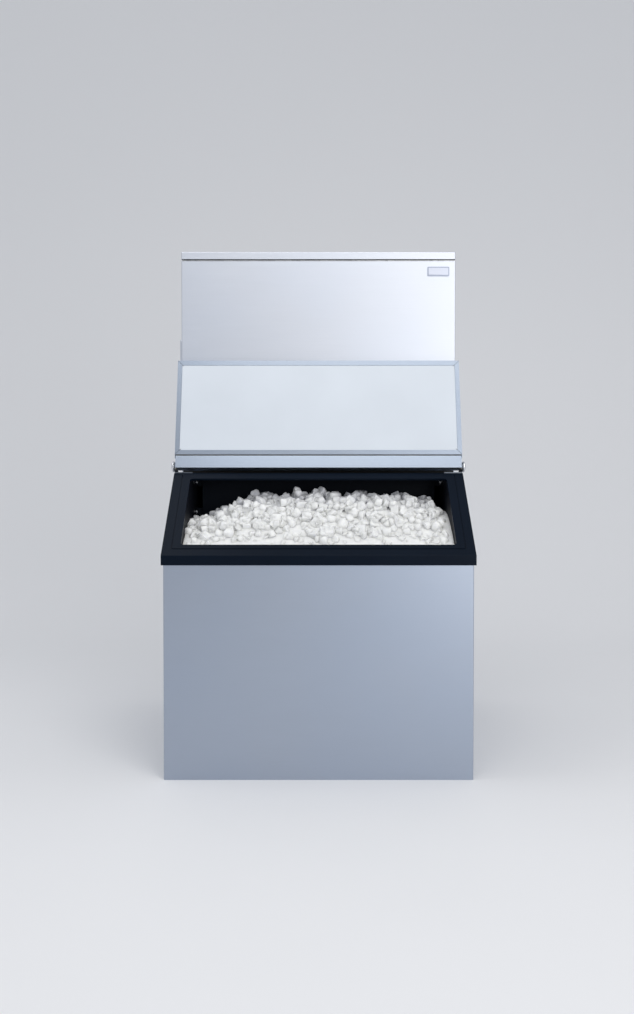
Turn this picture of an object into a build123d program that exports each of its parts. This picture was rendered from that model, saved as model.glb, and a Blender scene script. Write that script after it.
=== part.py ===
"""Modular cube ice machine: an ice-making head bolted on a top-front-door ice storage bin.

Millimetres. +X is the machine's right as seen from the front, +Y its back, +Z up. The origin is
on the floor, under the middle of the machine. The door is modelled open, leaning on the head.
"""

import math
import os
import random

from build123d import *

# Bin, overall
BIN_WIDTH = 762.0
BIN_DEPTH = 864.0
BIN_HEIGHT = 760.0
SKIN = 1.2  # stainless sheet of every outer panel
BEND = 2.5  # outside radius of a folded corner
PANEL_RETURN = 18.0  # how far a front panel's folded sides run back
FITTING_REACH = 18.0  # how far the pipe fittings stand out behind

# Door frame moulding, on the bin's sloping front
SLOPE_DEG = 45.0
FRAME_OVERHANG = 5.0
SLOPE_RISE = 207.0  # from the lip's top edge up to the deck
LIP_HEIGHT = 24.0
FRAME_THICK = 6.0
SKIRT_DEPTH = 17.0
BORDER_SIDE = 45.0
BORDER_BOTTOM = 36.0
BORDER_TOP = 21.0
OPENING_CORNER = 7.0
GROOVE_INSET = 22.5
GROOVE_WIDTH = 2.4
GROOVE_DEPTH = 1.6

# Liner, insulation and base
LINER_THICK = 3.0
WALL = 44.0  # front and back walls, from the outside to the liner's inside
FLOOR_RISE = 62.0
FLOOR_FALL = 12.0
TOP_WALL = 14.0
LINER_CORNER = 14.0
BASE_THICK = 1.5
BASE_FLANGE = 14.0
SOCKET_RADIUS = 12.0
SOCKET_HOLE = 6.0
SOCKET_HEIGHT = 26.0
SOCKET_INSET = 60.0
DRAIN_RADIUS = 13.3
DRAIN_NECK = 12.0  # through the wall
DRAIN_BORE = 9.0
STRAINER_RADIUS = 18.0
STRAINER_REACH = 14.0
STRAINER_WALL = 2.0
STRAINER_INSET = 3.0
STRAINER_SLOTS = 6
STRAINER_SLOT = 2.4

# Door
DOOR_THICK = 30.0
DOOR_FACE = 5.0  # from the hinge axis in to the door's inner face
DOOR_END_GAP = 8.2  # free end to the frame's lip, when closed
DOOR_SHEET = 1.2
HINGE_SETBACK = 7.0  # behind the deck's front edge
HINGE_RISE = 17.0  # above the deck
HINGE_INSET = 2.5  # how much narrower the door is between the hinge plates
HINGE_END = 24.0  # length of that narrower end
TAIL = 4.0  # door beyond the hinge axis
STRIP_LENGTH = 30.0
STRIP_DROP = 3.6
SEAM = 3.5  # dark joint between hinge strip and inner frame
RIM_SIDE = 12.0
RIM_FREE_END = 14.0
LINER_PANEL_THICK = 2.4
LINER_PANEL_SINK = 0.5
GRIP_WIDTH = 150.0
GRIP_HEIGHT = 34.0
GRIP_DEPTH = 15.0
GRIP_WALL = 2.0
GRIP_CORNER = 10.0
GRIP_FROM_END = 26.0

# Hinges
PIN_RADIUS = 4.0
PIN_CAP_RADIUS = 14.5
PIN_CAP_THICK = 6.0
PIN_COLLAR = 1.5
PIN_COLLAR_RADIUS = 7.0
PIN_LENGTH = 16.0
EAR_THICK = 2.0
EAR_RADIUS = 12.0
EAR_GAP = 0.7
FOOT_THICK = 3.0
FOOT_WIDTH = 48.0
FOOT_LENGTH = 50.0
BUSH_RADIUS = 7.0
BUSH_FLANGE = 10.0
BUSH_THICK = 5.0
RUNNING = 0.06  # radial clearance of a turning shaft
FIT = 0.05  # radial clearance of a fixed pin

# Head, overall
DECK_SHELF = 102.0  # open deck between the slope and the head
HEAD_HEIGHT = 614.0
HEAD_GASKET = 3.0
CAP_HEIGHT = 20.0
CAP_SHADOW = 6.0  # dark gap under the cap
REST_GAP = 0.3

# Places worked out from those sizes
SLOPE = math.radians(SLOPE_DEG)
FRONT_Y = FRAME_OVERHANG - (BIN_DEPTH + FRAME_OVERHANG + FITTING_REACH) / 2
BACK_Y = FRONT_Y + BIN_DEPTH
HALF = BIN_WIDTH / 2
FRAME_HALF = HALF + FRAME_OVERHANG
LIP_Y = FRONT_Y - FRAME_OVERHANG
LIP_TOP = BIN_HEIGHT - SLOPE_RISE
DOOR_WIDTH = 2 * FRAME_HALF
DECK_EDGE_Y = LIP_Y + SLOPE_RISE / math.tan(SLOPE)
SLOPE_LENGTH = SLOPE_RISE / math.sin(SLOPE)
OPENING_HALF = FRAME_HALF - BORDER_SIDE
OPENING_TOP = SLOPE_LENGTH - BORDER_TOP
HINGE_Y = DECK_EDGE_Y + HINGE_SETBACK
HINGE_Z = BIN_HEIGHT + HINGE_RISE
HEAD_FRONT_Y = DECK_EDGE_Y + DECK_SHELF
HEAD_BOTTOM = BIN_HEIGHT + HEAD_GASKET
HEAD_TOP = HEAD_BOTTOM + HEAD_HEIGHT
CAP_BOTTOM = HEAD_TOP - CAP_HEIGHT
CEILING = BIN_HEIGHT - TOP_WALL

os.makedirs("parts", exist_ok=True)
random.seed(7)


def box(x0, x1, y0, y1, z0, z1):
    """A box between two corners."""
    centre = ((x0 + x1) / 2, (y0 + y1) / 2, (z0 + z1) / 2)
    return Pos(*centre) * Box(abs(x1 - x0), abs(y1 - y0), abs(z1 - z0))


def prism_x(points, x0, x1):
    """A (y, z) outline pushed along X from x0 to x1."""
    outline = Plane.YZ.offset(x0) * Polygon(*points, align=None)
    return extrude(outline, amount=x1 - x0, dir=(1, 0, 0))


def rod(axis, start, length, radius, at):
    """A cylinder along X, Y or Z: start and length run along the axis, at gives the other two."""
    if axis == "X":
        place = Plane((start, at[0], at[1]), x_dir=(0, 1, 0), z_dir=(1, 0, 0))
    elif axis == "Y":
        place = Plane((at[0], start, at[1]), x_dir=(1, 0, 0), z_dir=(0, 1, 0))
    else:
        place = Plane((at[0], at[1], start), x_dir=(1, 0, 0), z_dir=(0, 0, 1))
    return extrude(place * Circle(radius), amount=length)


def pipe(points, radius, bend, bore=0.0):
    """A tube along straight runs joined by arcs of one radius."""
    path = FilletPolyline(*points, radius=bend) if len(points) > 2 else Line(*points)
    start = Plane(path @ 0, z_dir=path % 0)
    section = start * Circle(radius)
    if bore:
        section -= start * Circle(bore)
    return sweep(section, path=path)


def save(name, shape):
    """Write one piece, or one group of like pieces, to its own file."""
    solids = shape.solids()
    whole = solids[0] if len(solids) == 1 else Compound(children=list(solids))
    whole.label = name
    export_step(whole, f"parts/{name}.step")


def mirrored(shape):
    """The piece and its mirror image on the machine's other side."""
    return Compound(children=[*shape.solids(), *mirror(shape, about=Plane.YZ).solids()])


# The slope's own frame: x across, y up the slope from the lip's edge, z out of it.
slope_frame = Plane(
    (0, LIP_Y, LIP_TOP), x_dir=(1, 0, 0), z_dir=(0, -math.sin(SLOPE), math.cos(SLOPE))
)


def on_slope(shape):
    return slope_frame.location * shape


def slope_z(y, below=0.0):
    """Height of the slope's plane, or of one that lies below it, at a given y."""
    return LIP_TOP + (y - LIP_Y) * math.tan(SLOPE) - below / math.cos(SLOPE)


def slope_y(z, below=0.0):
    return LIP_Y + (z - LIP_TOP + below / math.cos(SLOPE)) / math.tan(SLOPE)


def under_slope(y0, y1, z0, z1, x0, x1, below=FRAME_THICK):
    """A block whose top front is cut away by a plane parallel to the slope."""
    points = [(y0, z0), (y0, slope_z(y0, below)), (slope_y(z1, below), z1), (y1, z1), (y1, z0)]
    return prism_x(points, x0, x1)


# Hollow of the bin: front wall, collar square to the slope, opening, ceiling, back wall, floor
ROOM_FRONT = FRONT_Y + WALL
ROOM_BACK = BACK_Y - WALL
SILL_Y = LIP_Y + BORDER_BOTTOM * math.cos(SLOPE)
SILL_Z = LIP_TOP + BORDER_BOTTOM * math.sin(SLOPE)
COLLAR_Z = SILL_Z - (ROOM_FRONT - SILL_Y) / math.tan(SLOPE)
FLOOR_FRONT = FLOOR_RISE
FLOOR_BACK = FLOOR_RISE - FLOOR_FALL
DRAIN_HEIGHT = FLOOR_BACK + LINER_CORNER + STRAINER_RADIUS + 1.0


def room_outline(grow=0.0):
    """Side view of the bin's hollow, or of that hollow grown by a wall all round."""
    slant = grow * math.tan(SLOPE / 2)
    return [
        (ROOM_FRONT - grow, FLOOR_FRONT - grow),
        (ROOM_FRONT - grow, COLLAR_Z - slant),
        (SILL_Y - grow * math.sin(SLOPE), SILL_Z - grow * math.cos(SLOPE)),
        (slope_y(CEILING), CEILING + grow),
        (ROOM_BACK + grow, CEILING + grow),
        (ROOM_BACK + grow, FLOOR_BACK - grow),
    ]


def room(grow=0.0):
    """The bin's hollow as a solid, with rounded floor corners."""
    half = OPENING_HALF + grow
    solid = prism_x(room_outline(grow), -half, half)
    low = [e for e in solid.edges().filter_by(Axis.X) if e.center().Z < FLOOR_RISE + 1]
    return fillet(low, LINER_CORNER + grow)


# Drop opening, through the bin's top and the head's base
DROP_FROM_RIGHT = 53.0
DROP_WIDTH = 368.0
DROP_FROM_FRONT = 31.0
DROP_LENGTH = 180.0
DROP_CORNER = 8.0
DROP_RIGHT = HALF - DROP_FROM_RIGHT
DROP_LEFT = DROP_RIGHT - DROP_WIDTH
DROP_FRONT = HEAD_FRONT_Y + DROP_FROM_FRONT
DROP_BACK = DROP_FRONT + DROP_LENGTH


def drop_hole(z0, z1, grow=0.0):
    hole = box(DROP_LEFT - grow, DROP_RIGHT + grow, DROP_FRONT - grow, DROP_BACK + grow, z0, z1)
    return fillet(hole.edges().filter_by(Axis.Z), DROP_CORNER + grow)


SOCKET_X = HALF - SOCKET_INSET
SOCKET_YS = (FRONT_Y + SOCKET_INSET, BACK_Y - SOCKET_INSET)
SOCKETS = [(side * SOCKET_X, y) for side in (-1, 1) for y in SOCKET_YS]


def folded_front(y, z0, z1):
    """A front sheet with rounded vertical corners and folded sides."""
    depth = PANEL_RETURN
    outer = box(-HALF, HALF, y, y + depth, z0, z1)
    corners = outer.edges().filter_by(Axis.Z).group_by(Axis.Y)[0]
    outer = fillet(corners, BEND)
    inner = box(-HALF + SKIN, HALF - SKIN, y + SKIN, y + depth + 1, z0 - 1, z1 + 1)
    bends = inner.edges().filter_by(Axis.Z).group_by(Axis.Y)[0]
    return outer - fillet(bends, BEND - SKIN)


def bin_front_panel():
    sheet = folded_front(FRONT_Y, 0, LIP_TOP + PANEL_RETURN)
    above = prism_x(
        [
            (FRONT_Y - 5, slope_z(FRONT_Y - 5, FRAME_THICK)),
            (FRONT_Y + 60, slope_z(FRONT_Y + 60, FRAME_THICK)),
            (FRONT_Y - 5, slope_z(FRONT_Y + 60, FRAME_THICK)),
        ],
        -HALF - 5,
        HALF + 5,
    )
    return sheet - above


def bin_side_panel(side):
    x0, x1 = sorted((side * HALF, side * (HALF - SKIN)))
    top = BIN_HEIGHT - SKIN
    return under_slope(FRONT_Y + PANEL_RETURN, BACK_Y - SKIN, 0, top, x0, x1)


def bin_back_panel():
    sheet = box(-HALF, HALF, BACK_Y - SKIN, BACK_Y, 0, BIN_HEIGHT - SKIN)
    return sheet - rod("Y", BACK_Y - 5, 10, DRAIN_NECK + FIT, (0, DRAIN_HEIGHT))


def base_pan():
    """Tray with turned-up flanges and four holes for the leg sockets."""
    inside = HALF - SKIN
    y0, y1 = FRONT_Y + SKIN, BACK_Y - SKIN
    tray = box(-inside, inside, y0, y1, 0, BASE_FLANGE)
    hollow = box(
        -inside + BASE_THICK, inside - BASE_THICK, y0 + BASE_THICK, y1 - BASE_THICK, BASE_THICK,
        BASE_FLANGE + 1,
    )
    corners = tray.edges().filter_by(Axis.Z).group_by(Axis.Y)[0]
    tray = fillet(corners, BEND - SKIN) - hollow
    for place in SOCKETS:
        tray -= rod("Z", -1, BASE_THICK + 2, SOCKET_HOLE, place)
    return tray


def leg_sockets():
    """Four blind threaded sockets that take a leg or a caster stem."""
    sockets = []
    for place in SOCKETS:
        socket = rod("Z", BASE_THICK, SOCKET_HEIGHT, SOCKET_RADIUS, place)
        sockets.append(socket - rod("Z", 0, SOCKET_HEIGHT - 2, SOCKET_HOLE, place))
    return Compound(children=[s.solid() for s in sockets])


def insulation():
    """Foam poured between the outer skins and the liner."""
    inside = HALF - SKIN
    y0, y1 = FRONT_Y + SKIN, BACK_Y - SKIN
    foam = under_slope(y0, y1, BASE_THICK, BIN_HEIGHT - SKIN, -inside, inside)
    front = foam.edges().filter_by(Axis.Z).group_by(Axis.Y)[0]
    foam = fillet(front, BEND - SKIN)
    flange = BASE_THICK
    foam -= box(-inside, -inside + flange, y0, y1, BASE_THICK, BASE_FLANGE)
    foam -= box(inside - flange, inside, y0, y1, BASE_THICK, BASE_FLANGE)
    foam -= box(-inside, inside, y0, y0 + flange, BASE_THICK, BASE_FLANGE)
    foam -= box(-inside, inside, y1 - flange, y1, BASE_THICK, BASE_FLANGE)
    foam -= room(LINER_THICK)
    foam -= opening_block(LINER_THICK)
    foam -= drop_hole(CEILING, BIN_HEIGHT + 1)
    for place in SOCKETS:
        foam -= rod("Z", 0, BASE_THICK + SOCKET_HEIGHT, SOCKET_RADIUS, place)
    foam -= rod("Y", ROOM_BACK, WALL, DRAIN_NECK + FIT, (0, DRAIN_HEIGHT))
    return foam


def opening_block(grow=0.0):
    """What the door opening takes away above the room, square to the slope."""
    half = OPENING_HALF + grow
    block = box(
        -half, half, BORDER_BOTTOM - grow, OPENING_TOP, -FRAME_THICK * 2, FRAME_THICK * 2
    )
    return on_slope(block)


def bin_liner():
    """Moulded tub: floor falling to the drain, walls, ceiling, and the drop opening."""
    tub = room(LINER_THICK) - room()
    beyond = SLOPE_LENGTH
    above = on_slope(box(-HALF, HALF, -beyond, SLOPE_LENGTH + beyond, -FRAME_THICK, beyond))
    deck = box(-HALF, HALF, DECK_EDGE_Y, BACK_Y, CEILING, BIN_HEIGHT)
    tub -= above - deck
    tub -= opening_block()
    tub -= drop_hole(CEILING - 1, BIN_HEIGHT)
    tub -= rod("Y", ROOM_BACK - 5, WALL, DRAIN_NECK + FIT, (0, DRAIN_HEIGHT))
    return max(tub.solids(), key=lambda s: s.volume)


def top_deck():
    """Sheet that the head stands on."""
    sheet = box(-HALF, HALF, deck_front(), BACK_Y, BIN_HEIGHT - SKIN, BIN_HEIGHT)
    return sheet - drop_hole(BIN_HEIGHT - 5, BIN_HEIGHT + 5)


def deck_front():
    """Where the frame's top edge ends and the deck begins."""
    return slope_y(BIN_HEIGHT, FRAME_THICK)


def door_frame():
    """Dark moulded frame: sloping plate, front lip, side skirts, groove and rounded opening."""
    half = FRAME_HALF
    plate = prism_x(
        [
            (LIP_Y, LIP_TOP - LIP_HEIGHT),
            (LIP_Y, LIP_TOP),
            (DECK_EDGE_Y, BIN_HEIGHT),
            (deck_front(), BIN_HEIGHT),
            (FRONT_Y, slope_z(FRONT_Y, FRAME_THICK)),
            (FRONT_Y, LIP_TOP - LIP_HEIGHT),
        ],
        -half,
        half,
    )
    for side in (-1, 1):
        x0, x1 = sorted((side * HALF, side * half))
        skirt = prism_x(
            [
                (LIP_Y, LIP_TOP - LIP_HEIGHT),
                (LIP_Y, LIP_TOP),
                (DECK_EDGE_Y, BIN_HEIGHT),
                (slope_y(BIN_HEIGHT, SKIRT_DEPTH), BIN_HEIGHT),
            ],
            x0,
            x1,
        )
        plate += skirt
    rim = plate.edges().filter_by(Axis.X).sort_by(lambda e: (e.center().Y, -e.center().Z))
    lip_edges = [e for e in rim if abs(e.center().Y - LIP_Y) < 0.1]
    plate = fillet(lip_edges, 1.6)
    hole = box(
        -OPENING_HALF, OPENING_HALF, BORDER_BOTTOM, OPENING_TOP, -FRAME_THICK * 2, FRAME_THICK
    )
    hole = fillet(hole.edges().filter_by(Axis.Z), OPENING_CORNER)
    plate -= on_slope(hole)
    return plate - on_slope(frame_groove())


def frame_groove():
    """Shallow U-shaped groove round the opening, where the plate steps to its inner land."""
    outer = FRAME_HALF - GROOVE_INSET
    inner = outer - GROOVE_WIDTH
    low = GROOVE_INSET - 1.5
    top = SLOPE_LENGTH - 8.0
    ring = box(-outer, outer, low, top, -GROOVE_DEPTH, 5)
    return ring - box(-inner, inner, low + GROOVE_WIDTH, top + 1, -GROOVE_DEPTH - 1, 6)


# Deflector that hangs inside, behind the opening
DEFLECTOR_SIDE_GAP = 19.5
DEFLECTOR_DROP = 140.0
DEFLECTOR_AHEAD = 14.0  # in front of the head
DEFLECTOR_THICK = 1.5
DEFLECTOR_FLANGE = 24.0
TAB_DROP = 8.0  # the upper ears' middle, under the ceiling
CLIP_DROP = 91.0  # the lower ears' middle
TAB_WIDTH = 22.0
TAB_SET_BACK = 8.0  # the ears' arms, behind the sheet
TAB_REACH = 10.0  # the ears' pads, ahead of it
SCREW_HEAD = 8.0
SCREW_HEAD_THICK = 5.0
SCREW_SHANK = 3.0

DEFLECTOR_Y = HEAD_FRONT_Y - DEFLECTOR_AHEAD
DEFLECTOR_HALF = OPENING_HALF - DEFLECTOR_SIDE_GAP
DEFLECTOR_BOTTOM = CEILING - DEFLECTOR_DROP
EAR_HEIGHTS = (CEILING - TAB_DROP, CEILING - CLIP_DROP)
SCREW_Y = DEFLECTOR_Y + (TAB_SET_BACK - TAB_REACH) / 2


def ice_deflector():
    """Hanging sheet with folded side flanges and two ears a side that reach the liner walls."""
    y, t, half = DEFLECTOR_Y, DEFLECTOR_THICK, DEFLECTOR_HALF
    sheet = box(-half, half, y, y + t, DEFLECTOR_BOTTOM, CEILING)
    sheet += box(-half, half, y, y + DEFLECTOR_FLANGE, CEILING - t, CEILING)
    arm = y + TAB_SET_BACK
    for side in (-1, 1):
        edge = side * half
        sheet += box(edge - side * t, edge, y, y + DEFLECTOR_FLANGE, DEFLECTOR_BOTTOM, CEILING)
        wall = side * OPENING_HALF
        for z in EAR_HEIGHTS:
            low, high = z - TAB_WIDTH / 2, min(z + TAB_WIDTH / 2, CEILING)
            sheet += box(edge, wall, arm, arm + t, low, high)
            sheet += box(wall - side * t, wall, y - TAB_REACH, arm + t, low, high)
            hole = rod("X", -SCREW_HEAD_THICK, 2 * SCREW_HEAD_THICK, SCREW_SHANK + FIT, (SCREW_Y, z))
            sheet -= Pos(wall, 0, 0) * hole
    return sheet


def deflector_screws():
    """Four thumb screws through the deflector's ears."""
    screws = []
    face = OPENING_HALF - DEFLECTOR_THICK
    for z in EAR_HEIGHTS:
        head = rod("X", face - SCREW_HEAD_THICK, SCREW_HEAD_THICK, SCREW_HEAD, (SCREW_Y, z))
        shank = rod("X", face, DEFLECTOR_THICK, SCREW_SHANK, (SCREW_Y, z))
        screws.append(head + shank)
    return Compound(children=[s for one in screws for s in mirrored(one).solids()])


def drain_fitting():
    """Drain pipe through the back wall, with a flange inside the liner."""
    y_in = ROOM_BACK - LINER_THICK
    length = BACK_Y + FITTING_REACH - y_in
    at = (0, DRAIN_HEIGHT)
    fitting = rod("Y", y_in, BACK_Y - y_in, DRAIN_NECK, at)
    fitting += rod("Y", BACK_Y, FITTING_REACH, DRAIN_RADIUS, at)
    fitting += rod("Y", y_in, LINER_THICK, STRAINER_RADIUS, at)
    return fitting - rod("Y", y_in - 1, length + 2, DRAIN_BORE, at)


def drain_strainer():
    """Slotted cap over the drain, so that no ice blocks it."""
    y_end = ROOM_BACK - LINER_THICK
    y_tip = y_end - STRAINER_REACH
    outer = STRAINER_RADIUS - STRAINER_INSET
    inner = outer - STRAINER_WALL
    cup = rod("Y", y_tip, STRAINER_REACH, outer, (0, DRAIN_HEIGHT))
    cup -= rod("Y", y_tip + STRAINER_WALL, STRAINER_REACH, inner, (0, DRAIN_HEIGHT))
    half = STRAINER_SLOT / 2
    for n in range(STRAINER_SLOTS):
        slot = box(-half, half, y_tip - 1, y_end - 2 * STRAINER_WALL, outer / 2, outer + 1)
        cup -= Pos(0, 0, DRAIN_HEIGHT) * (Rot(0, n * 360 / STRAINER_SLOTS, 0) * slot)
    return cup


# Hinge plates, pins and bushes
EAR_IN = DOOR_WIDTH / 2 - EAR_THICK + 0.2
EAR_OUT = EAR_IN + EAR_THICK
DOOR_END_HALF = DOOR_WIDTH / 2 - HINGE_INSET


def hinge_plates():
    """Folded plates on the deck's corners: a foot and a rounded ear each side."""
    foot_y0 = deck_front() + 1.5
    foot_y1, foot_top = foot_y0 + FOOT_LENGTH, BIN_HEIGHT + FOOT_THICK
    foot = box(EAR_OUT - FOOT_WIDTH, EAR_OUT, foot_y0, foot_y1, BIN_HEIGHT, foot_top)
    web = prism_x(
        [
            (foot_y0, BIN_HEIGHT),
            (foot_y0, foot_top),
            (HINGE_Y - EAR_RADIUS * 0.6, HINGE_Z - EAR_RADIUS * 0.8),
            (HINGE_Y + EAR_RADIUS * 0.6, HINGE_Z + EAR_RADIUS * 0.8),
            (foot_y1, foot_top + FOOT_THICK),
            (foot_y1, BIN_HEIGHT),
        ],
        EAR_IN,
        EAR_OUT,
    )
    ear = rod("X", EAR_IN, EAR_THICK, EAR_RADIUS, (HINGE_Y, HINGE_Z))
    plate = foot + web + ear
    plate -= rod("X", EAR_IN - 1, EAR_THICK + 2, PIN_RADIUS + FIT, (HINGE_Y, HINGE_Z))
    return mirrored(plate)


def hinge_pins():
    """Turned pins with large rounded caps, from outside through each ear into the door's end."""
    cap_in = PIN_COLLAR
    cap_out = cap_in + PIN_CAP_THICK
    outline = [
        (-PIN_LENGTH, 0),
        (-PIN_LENGTH, PIN_RADIUS),
        (0, PIN_RADIUS),
        (0, PIN_COLLAR_RADIUS),
        (cap_in, PIN_COLLAR_RADIUS),
        (cap_in, PIN_CAP_RADIUS),
        (cap_in + PIN_CAP_THICK * 0.35, PIN_CAP_RADIUS),
        (cap_in + PIN_CAP_THICK * 0.75, PIN_CAP_RADIUS * 0.86),
        (cap_out, PIN_CAP_RADIUS * 0.55),
        (cap_out, 0),
    ]
    face = Plane.XZ * Polygon(*outline, align=None)
    pin = revolve(face, axis=Axis.X)
    return mirrored(Pos(EAR_OUT, HINGE_Y, HINGE_Z) * pin)


# Door, in its own frame: x across, y from the hinge axis to the free end, z towards its inside
def lean_angle():
    """Angle from upright at which the open door's outer corner meets the head's front."""
    back = DOOR_THICK - DOOR_FACE
    far = math.hypot(DOOR_REACH, back)
    room_behind = HEAD_FRONT_Y - HINGE_Y - REST_GAP
    return math.asin(room_behind / far) - math.atan2(back, DOOR_REACH)


DOOR_REACH = (
    (HINGE_Y - LIP_Y) * math.cos(SLOPE) + (HINGE_Z - LIP_TOP) * math.sin(SLOPE) - DOOR_END_GAP
)
LEAN = lean_angle()
door_plane = Plane(
    (0, HINGE_Y, HINGE_Z), x_dir=(1, 0, 0), z_dir=(0, -math.cos(LEAN), math.sin(LEAN))
)
DOOR_HALF = DOOR_WIDTH / 2
DOOR_OUTER = DOOR_FACE - DOOR_THICK
RIM_START = STRIP_LENGTH + SEAM


def on_door(shape):
    return door_plane.location * shape


def door_pan():
    """Outer sheet: face, folded sides, free end, narrower hinge end and the sloping strip."""
    wide = box(-DOOR_HALF, DOOR_HALF, HINGE_END, DOOR_REACH, DOOR_OUTER, DOOR_FACE - DOOR_SHEET)
    edges = wide.edges().filter_by(Axis.X).group_by(Axis.Y)[-1].group_by(Axis.Z)[0]
    uprights = wide.edges().filter_by(Axis.Y).group_by(Axis.Z)[0]
    wide = fillet(list(edges) + list(uprights), BEND)
    narrow = prism_x(hinge_end_outline(0.0), -DOOR_END_HALF, DOOR_END_HALF)
    pan = wide + narrow
    inside = box(
        -DOOR_HALF + DOOR_SHEET,
        DOOR_HALF - DOOR_SHEET,
        HINGE_END + DOOR_SHEET,
        DOOR_REACH - DOOR_SHEET,
        DOOR_OUTER + DOOR_SHEET,
        DOOR_FACE,
    )
    inner_edges = inside.edges().filter_by(Axis.X).group_by(Axis.Y)[-1].group_by(Axis.Z)[0]
    inner_sides = inside.edges().filter_by(Axis.Y).group_by(Axis.Z)[0]
    inside = fillet(list(inner_edges) + list(inner_sides), BEND - DOOR_SHEET)
    strip = prism_x(strip_outline(), -DOOR_END_HALF, DOOR_END_HALF)
    end_hollow = prism_x(
        hinge_end_outline(DOOR_SHEET), -DOOR_END_HALF + DOOR_SHEET, DOOR_END_HALF - DOOR_SHEET
    )
    pan = pan - inside - end_hollow + strip
    pan -= rod("X", -DOOR_HALF, DOOR_WIDTH, BUSH_RADIUS, (0, 0))
    return on_door(pan - grip_block(0.0))


def hinge_end_outline(inset):
    """Side view of the door's hinge end, from the outer face round the tail to the strip."""
    rise = STRIP_DROP * (STRIP_LENGTH - HINGE_END) / (STRIP_LENGTH + TAIL)
    return [
        (-TAIL + inset, DOOR_OUTER + inset + BEND),
        (-TAIL + inset + BEND, DOOR_OUTER + inset),
        (HINGE_END + DOOR_SHEET * 2, DOOR_OUTER + inset),
        (HINGE_END + DOOR_SHEET * 2, DOOR_FACE + rise - inset),
        (-TAIL + inset, DOOR_FACE + STRIP_DROP - inset),
    ]


def strip_outline():
    """Side view of the sheet strip that closes the door's inner side at the hinge."""
    return [
        (STRIP_LENGTH, DOOR_FACE),
        (STRIP_LENGTH, DOOR_FACE - DOOR_SHEET),
        (-TAIL, DOOR_FACE + STRIP_DROP - DOOR_SHEET),
        (-TAIL, DOOR_FACE + STRIP_DROP),
    ]


def grip_block(grow):
    """Room of the moulded hand grip in the outer face, near the free end."""
    y1 = DOOR_REACH - GRIP_FROM_END + grow
    y0 = y1 - GRIP_HEIGHT - 2 * grow
    half = GRIP_WIDTH / 2 + grow
    block = box(-half, half, y0, y1, DOOR_OUTER, DOOR_OUTER + GRIP_DEPTH + grow)
    return fillet(block.edges().filter_by(Axis.Z), GRIP_CORNER + grow)


def door_grip():
    """Moulded cup let into the outer face to lift the door by."""
    cup = grip_block(0.0) - Pos(0, 0, -GRIP_WALL) * grip_block(-GRIP_WALL)
    return on_door(max(cup.solids(), key=lambda s: s.volume))


def door_foam():
    """Foam core between the outer sheet and the inner panel."""
    core = box(
        -DOOR_HALF + DOOR_SHEET,
        DOOR_HALF - DOOR_SHEET,
        RIM_START,
        DOOR_REACH - DOOR_SHEET,
        DOOR_OUTER + DOOR_SHEET,
        panel_bottom(),
    )
    free = core.edges().filter_by(Axis.X).group_by(Axis.Y)[-1].group_by(Axis.Z)[0]
    sides = core.edges().filter_by(Axis.Y).group_by(Axis.Z)[0]
    core = fillet(list(free) + list(sides), BEND - DOOR_SHEET)
    return on_door(core - grip_block(0.0))


def panel_bottom():
    return DOOR_FACE - LINER_PANEL_SINK - LINER_PANEL_THICK


def door_rim():
    """Stainless frame round the inner panel: flat border with a turned-in lip."""
    y0, y1 = RIM_START, DOOR_REACH
    top = DOOR_FACE
    flat = box(-DOOR_HALF, DOOR_HALF, y0, y1, top - DOOR_SHEET, top)
    hole = rim_hole(y0, y1, top - 5, top + 5)
    return on_door(fillet(flat.edges().filter_by(Axis.Z), 1.0) - hole)


def rim_hole(y0, y1, z0, z1):
    half = DOOR_HALF - RIM_SIDE
    return box(-half, half, y0 + RIM_SIDE, y1 - RIM_FREE_END, z0, z1)


def door_liner_panel():
    """White inner panel: sits under the rim, with its middle raised in a flat pillow."""
    low = panel_bottom()
    under = DOOR_FACE - DOOR_SHEET
    plate = box(
        -DOOR_HALF + DOOR_SHEET,
        DOOR_HALF - DOOR_SHEET,
        RIM_START,
        DOOR_REACH - DOOR_SHEET,
        low,
        under,
    )
    pillow = rim_hole(RIM_START, DOOR_REACH, under, DOOR_FACE - LINER_PANEL_SINK)
    top = pillow.faces().sort_by(Axis.Z)[-1]
    pillow = chamfer(top.edges(), (DOOR_SHEET - LINER_PANEL_SINK) * 0.8)
    return on_door(plate + pillow)


def door_bushes():
    """Flanged plastic bushes in the door's end sheets, which turn on the pins."""
    outer_x = DOOR_END_HALF
    inner_x = outer_x - DOOR_SHEET
    sleeve = rod("X", inner_x, outer_x - inner_x, BUSH_RADIUS, (0, 0))
    flange = rod("X", inner_x - BUSH_THICK, BUSH_THICK, BUSH_FLANGE, (0, 0))
    low_y, high_z = -TAIL + DOOR_SHEET + 0.2, DOOR_FACE - 1
    flange &= box(inner_x - DOOR_THICK, inner_x + 1, low_y, DOOR_THICK, -DOOR_THICK, high_z)
    bush = sleeve + flange - rod("X", inner_x - PIN_LENGTH, 2 * PIN_LENGTH, PIN_RADIUS + RUNNING, (0, 0))
    return on_door(mirrored(bush))


def ice_slope(x, y):
    """Height of the heap in front of the deflector, from the sill up to a crest."""
    along = (y - ROOM_FRONT) / (DEFLECTOR_Y - ROOM_FRONT)
    side = x / OPENING_HALF
    reach = min(1.0, along / ICE_CREST_START)
    fall = ICE_LEFT_FALL * min(1.0, max(0.0, (-side - ICE_LEFT_START) / ICE_LEFT_RUN))
    fall += ICE_RIGHT_FALL * min(1.0, max(0.0, (side - ICE_RIGHT_START) / ICE_RIGHT_RUN))
    return ICE_FRONT + ICE_CREST * math.sin(reach * math.pi / 2) - fall * reach


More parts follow.
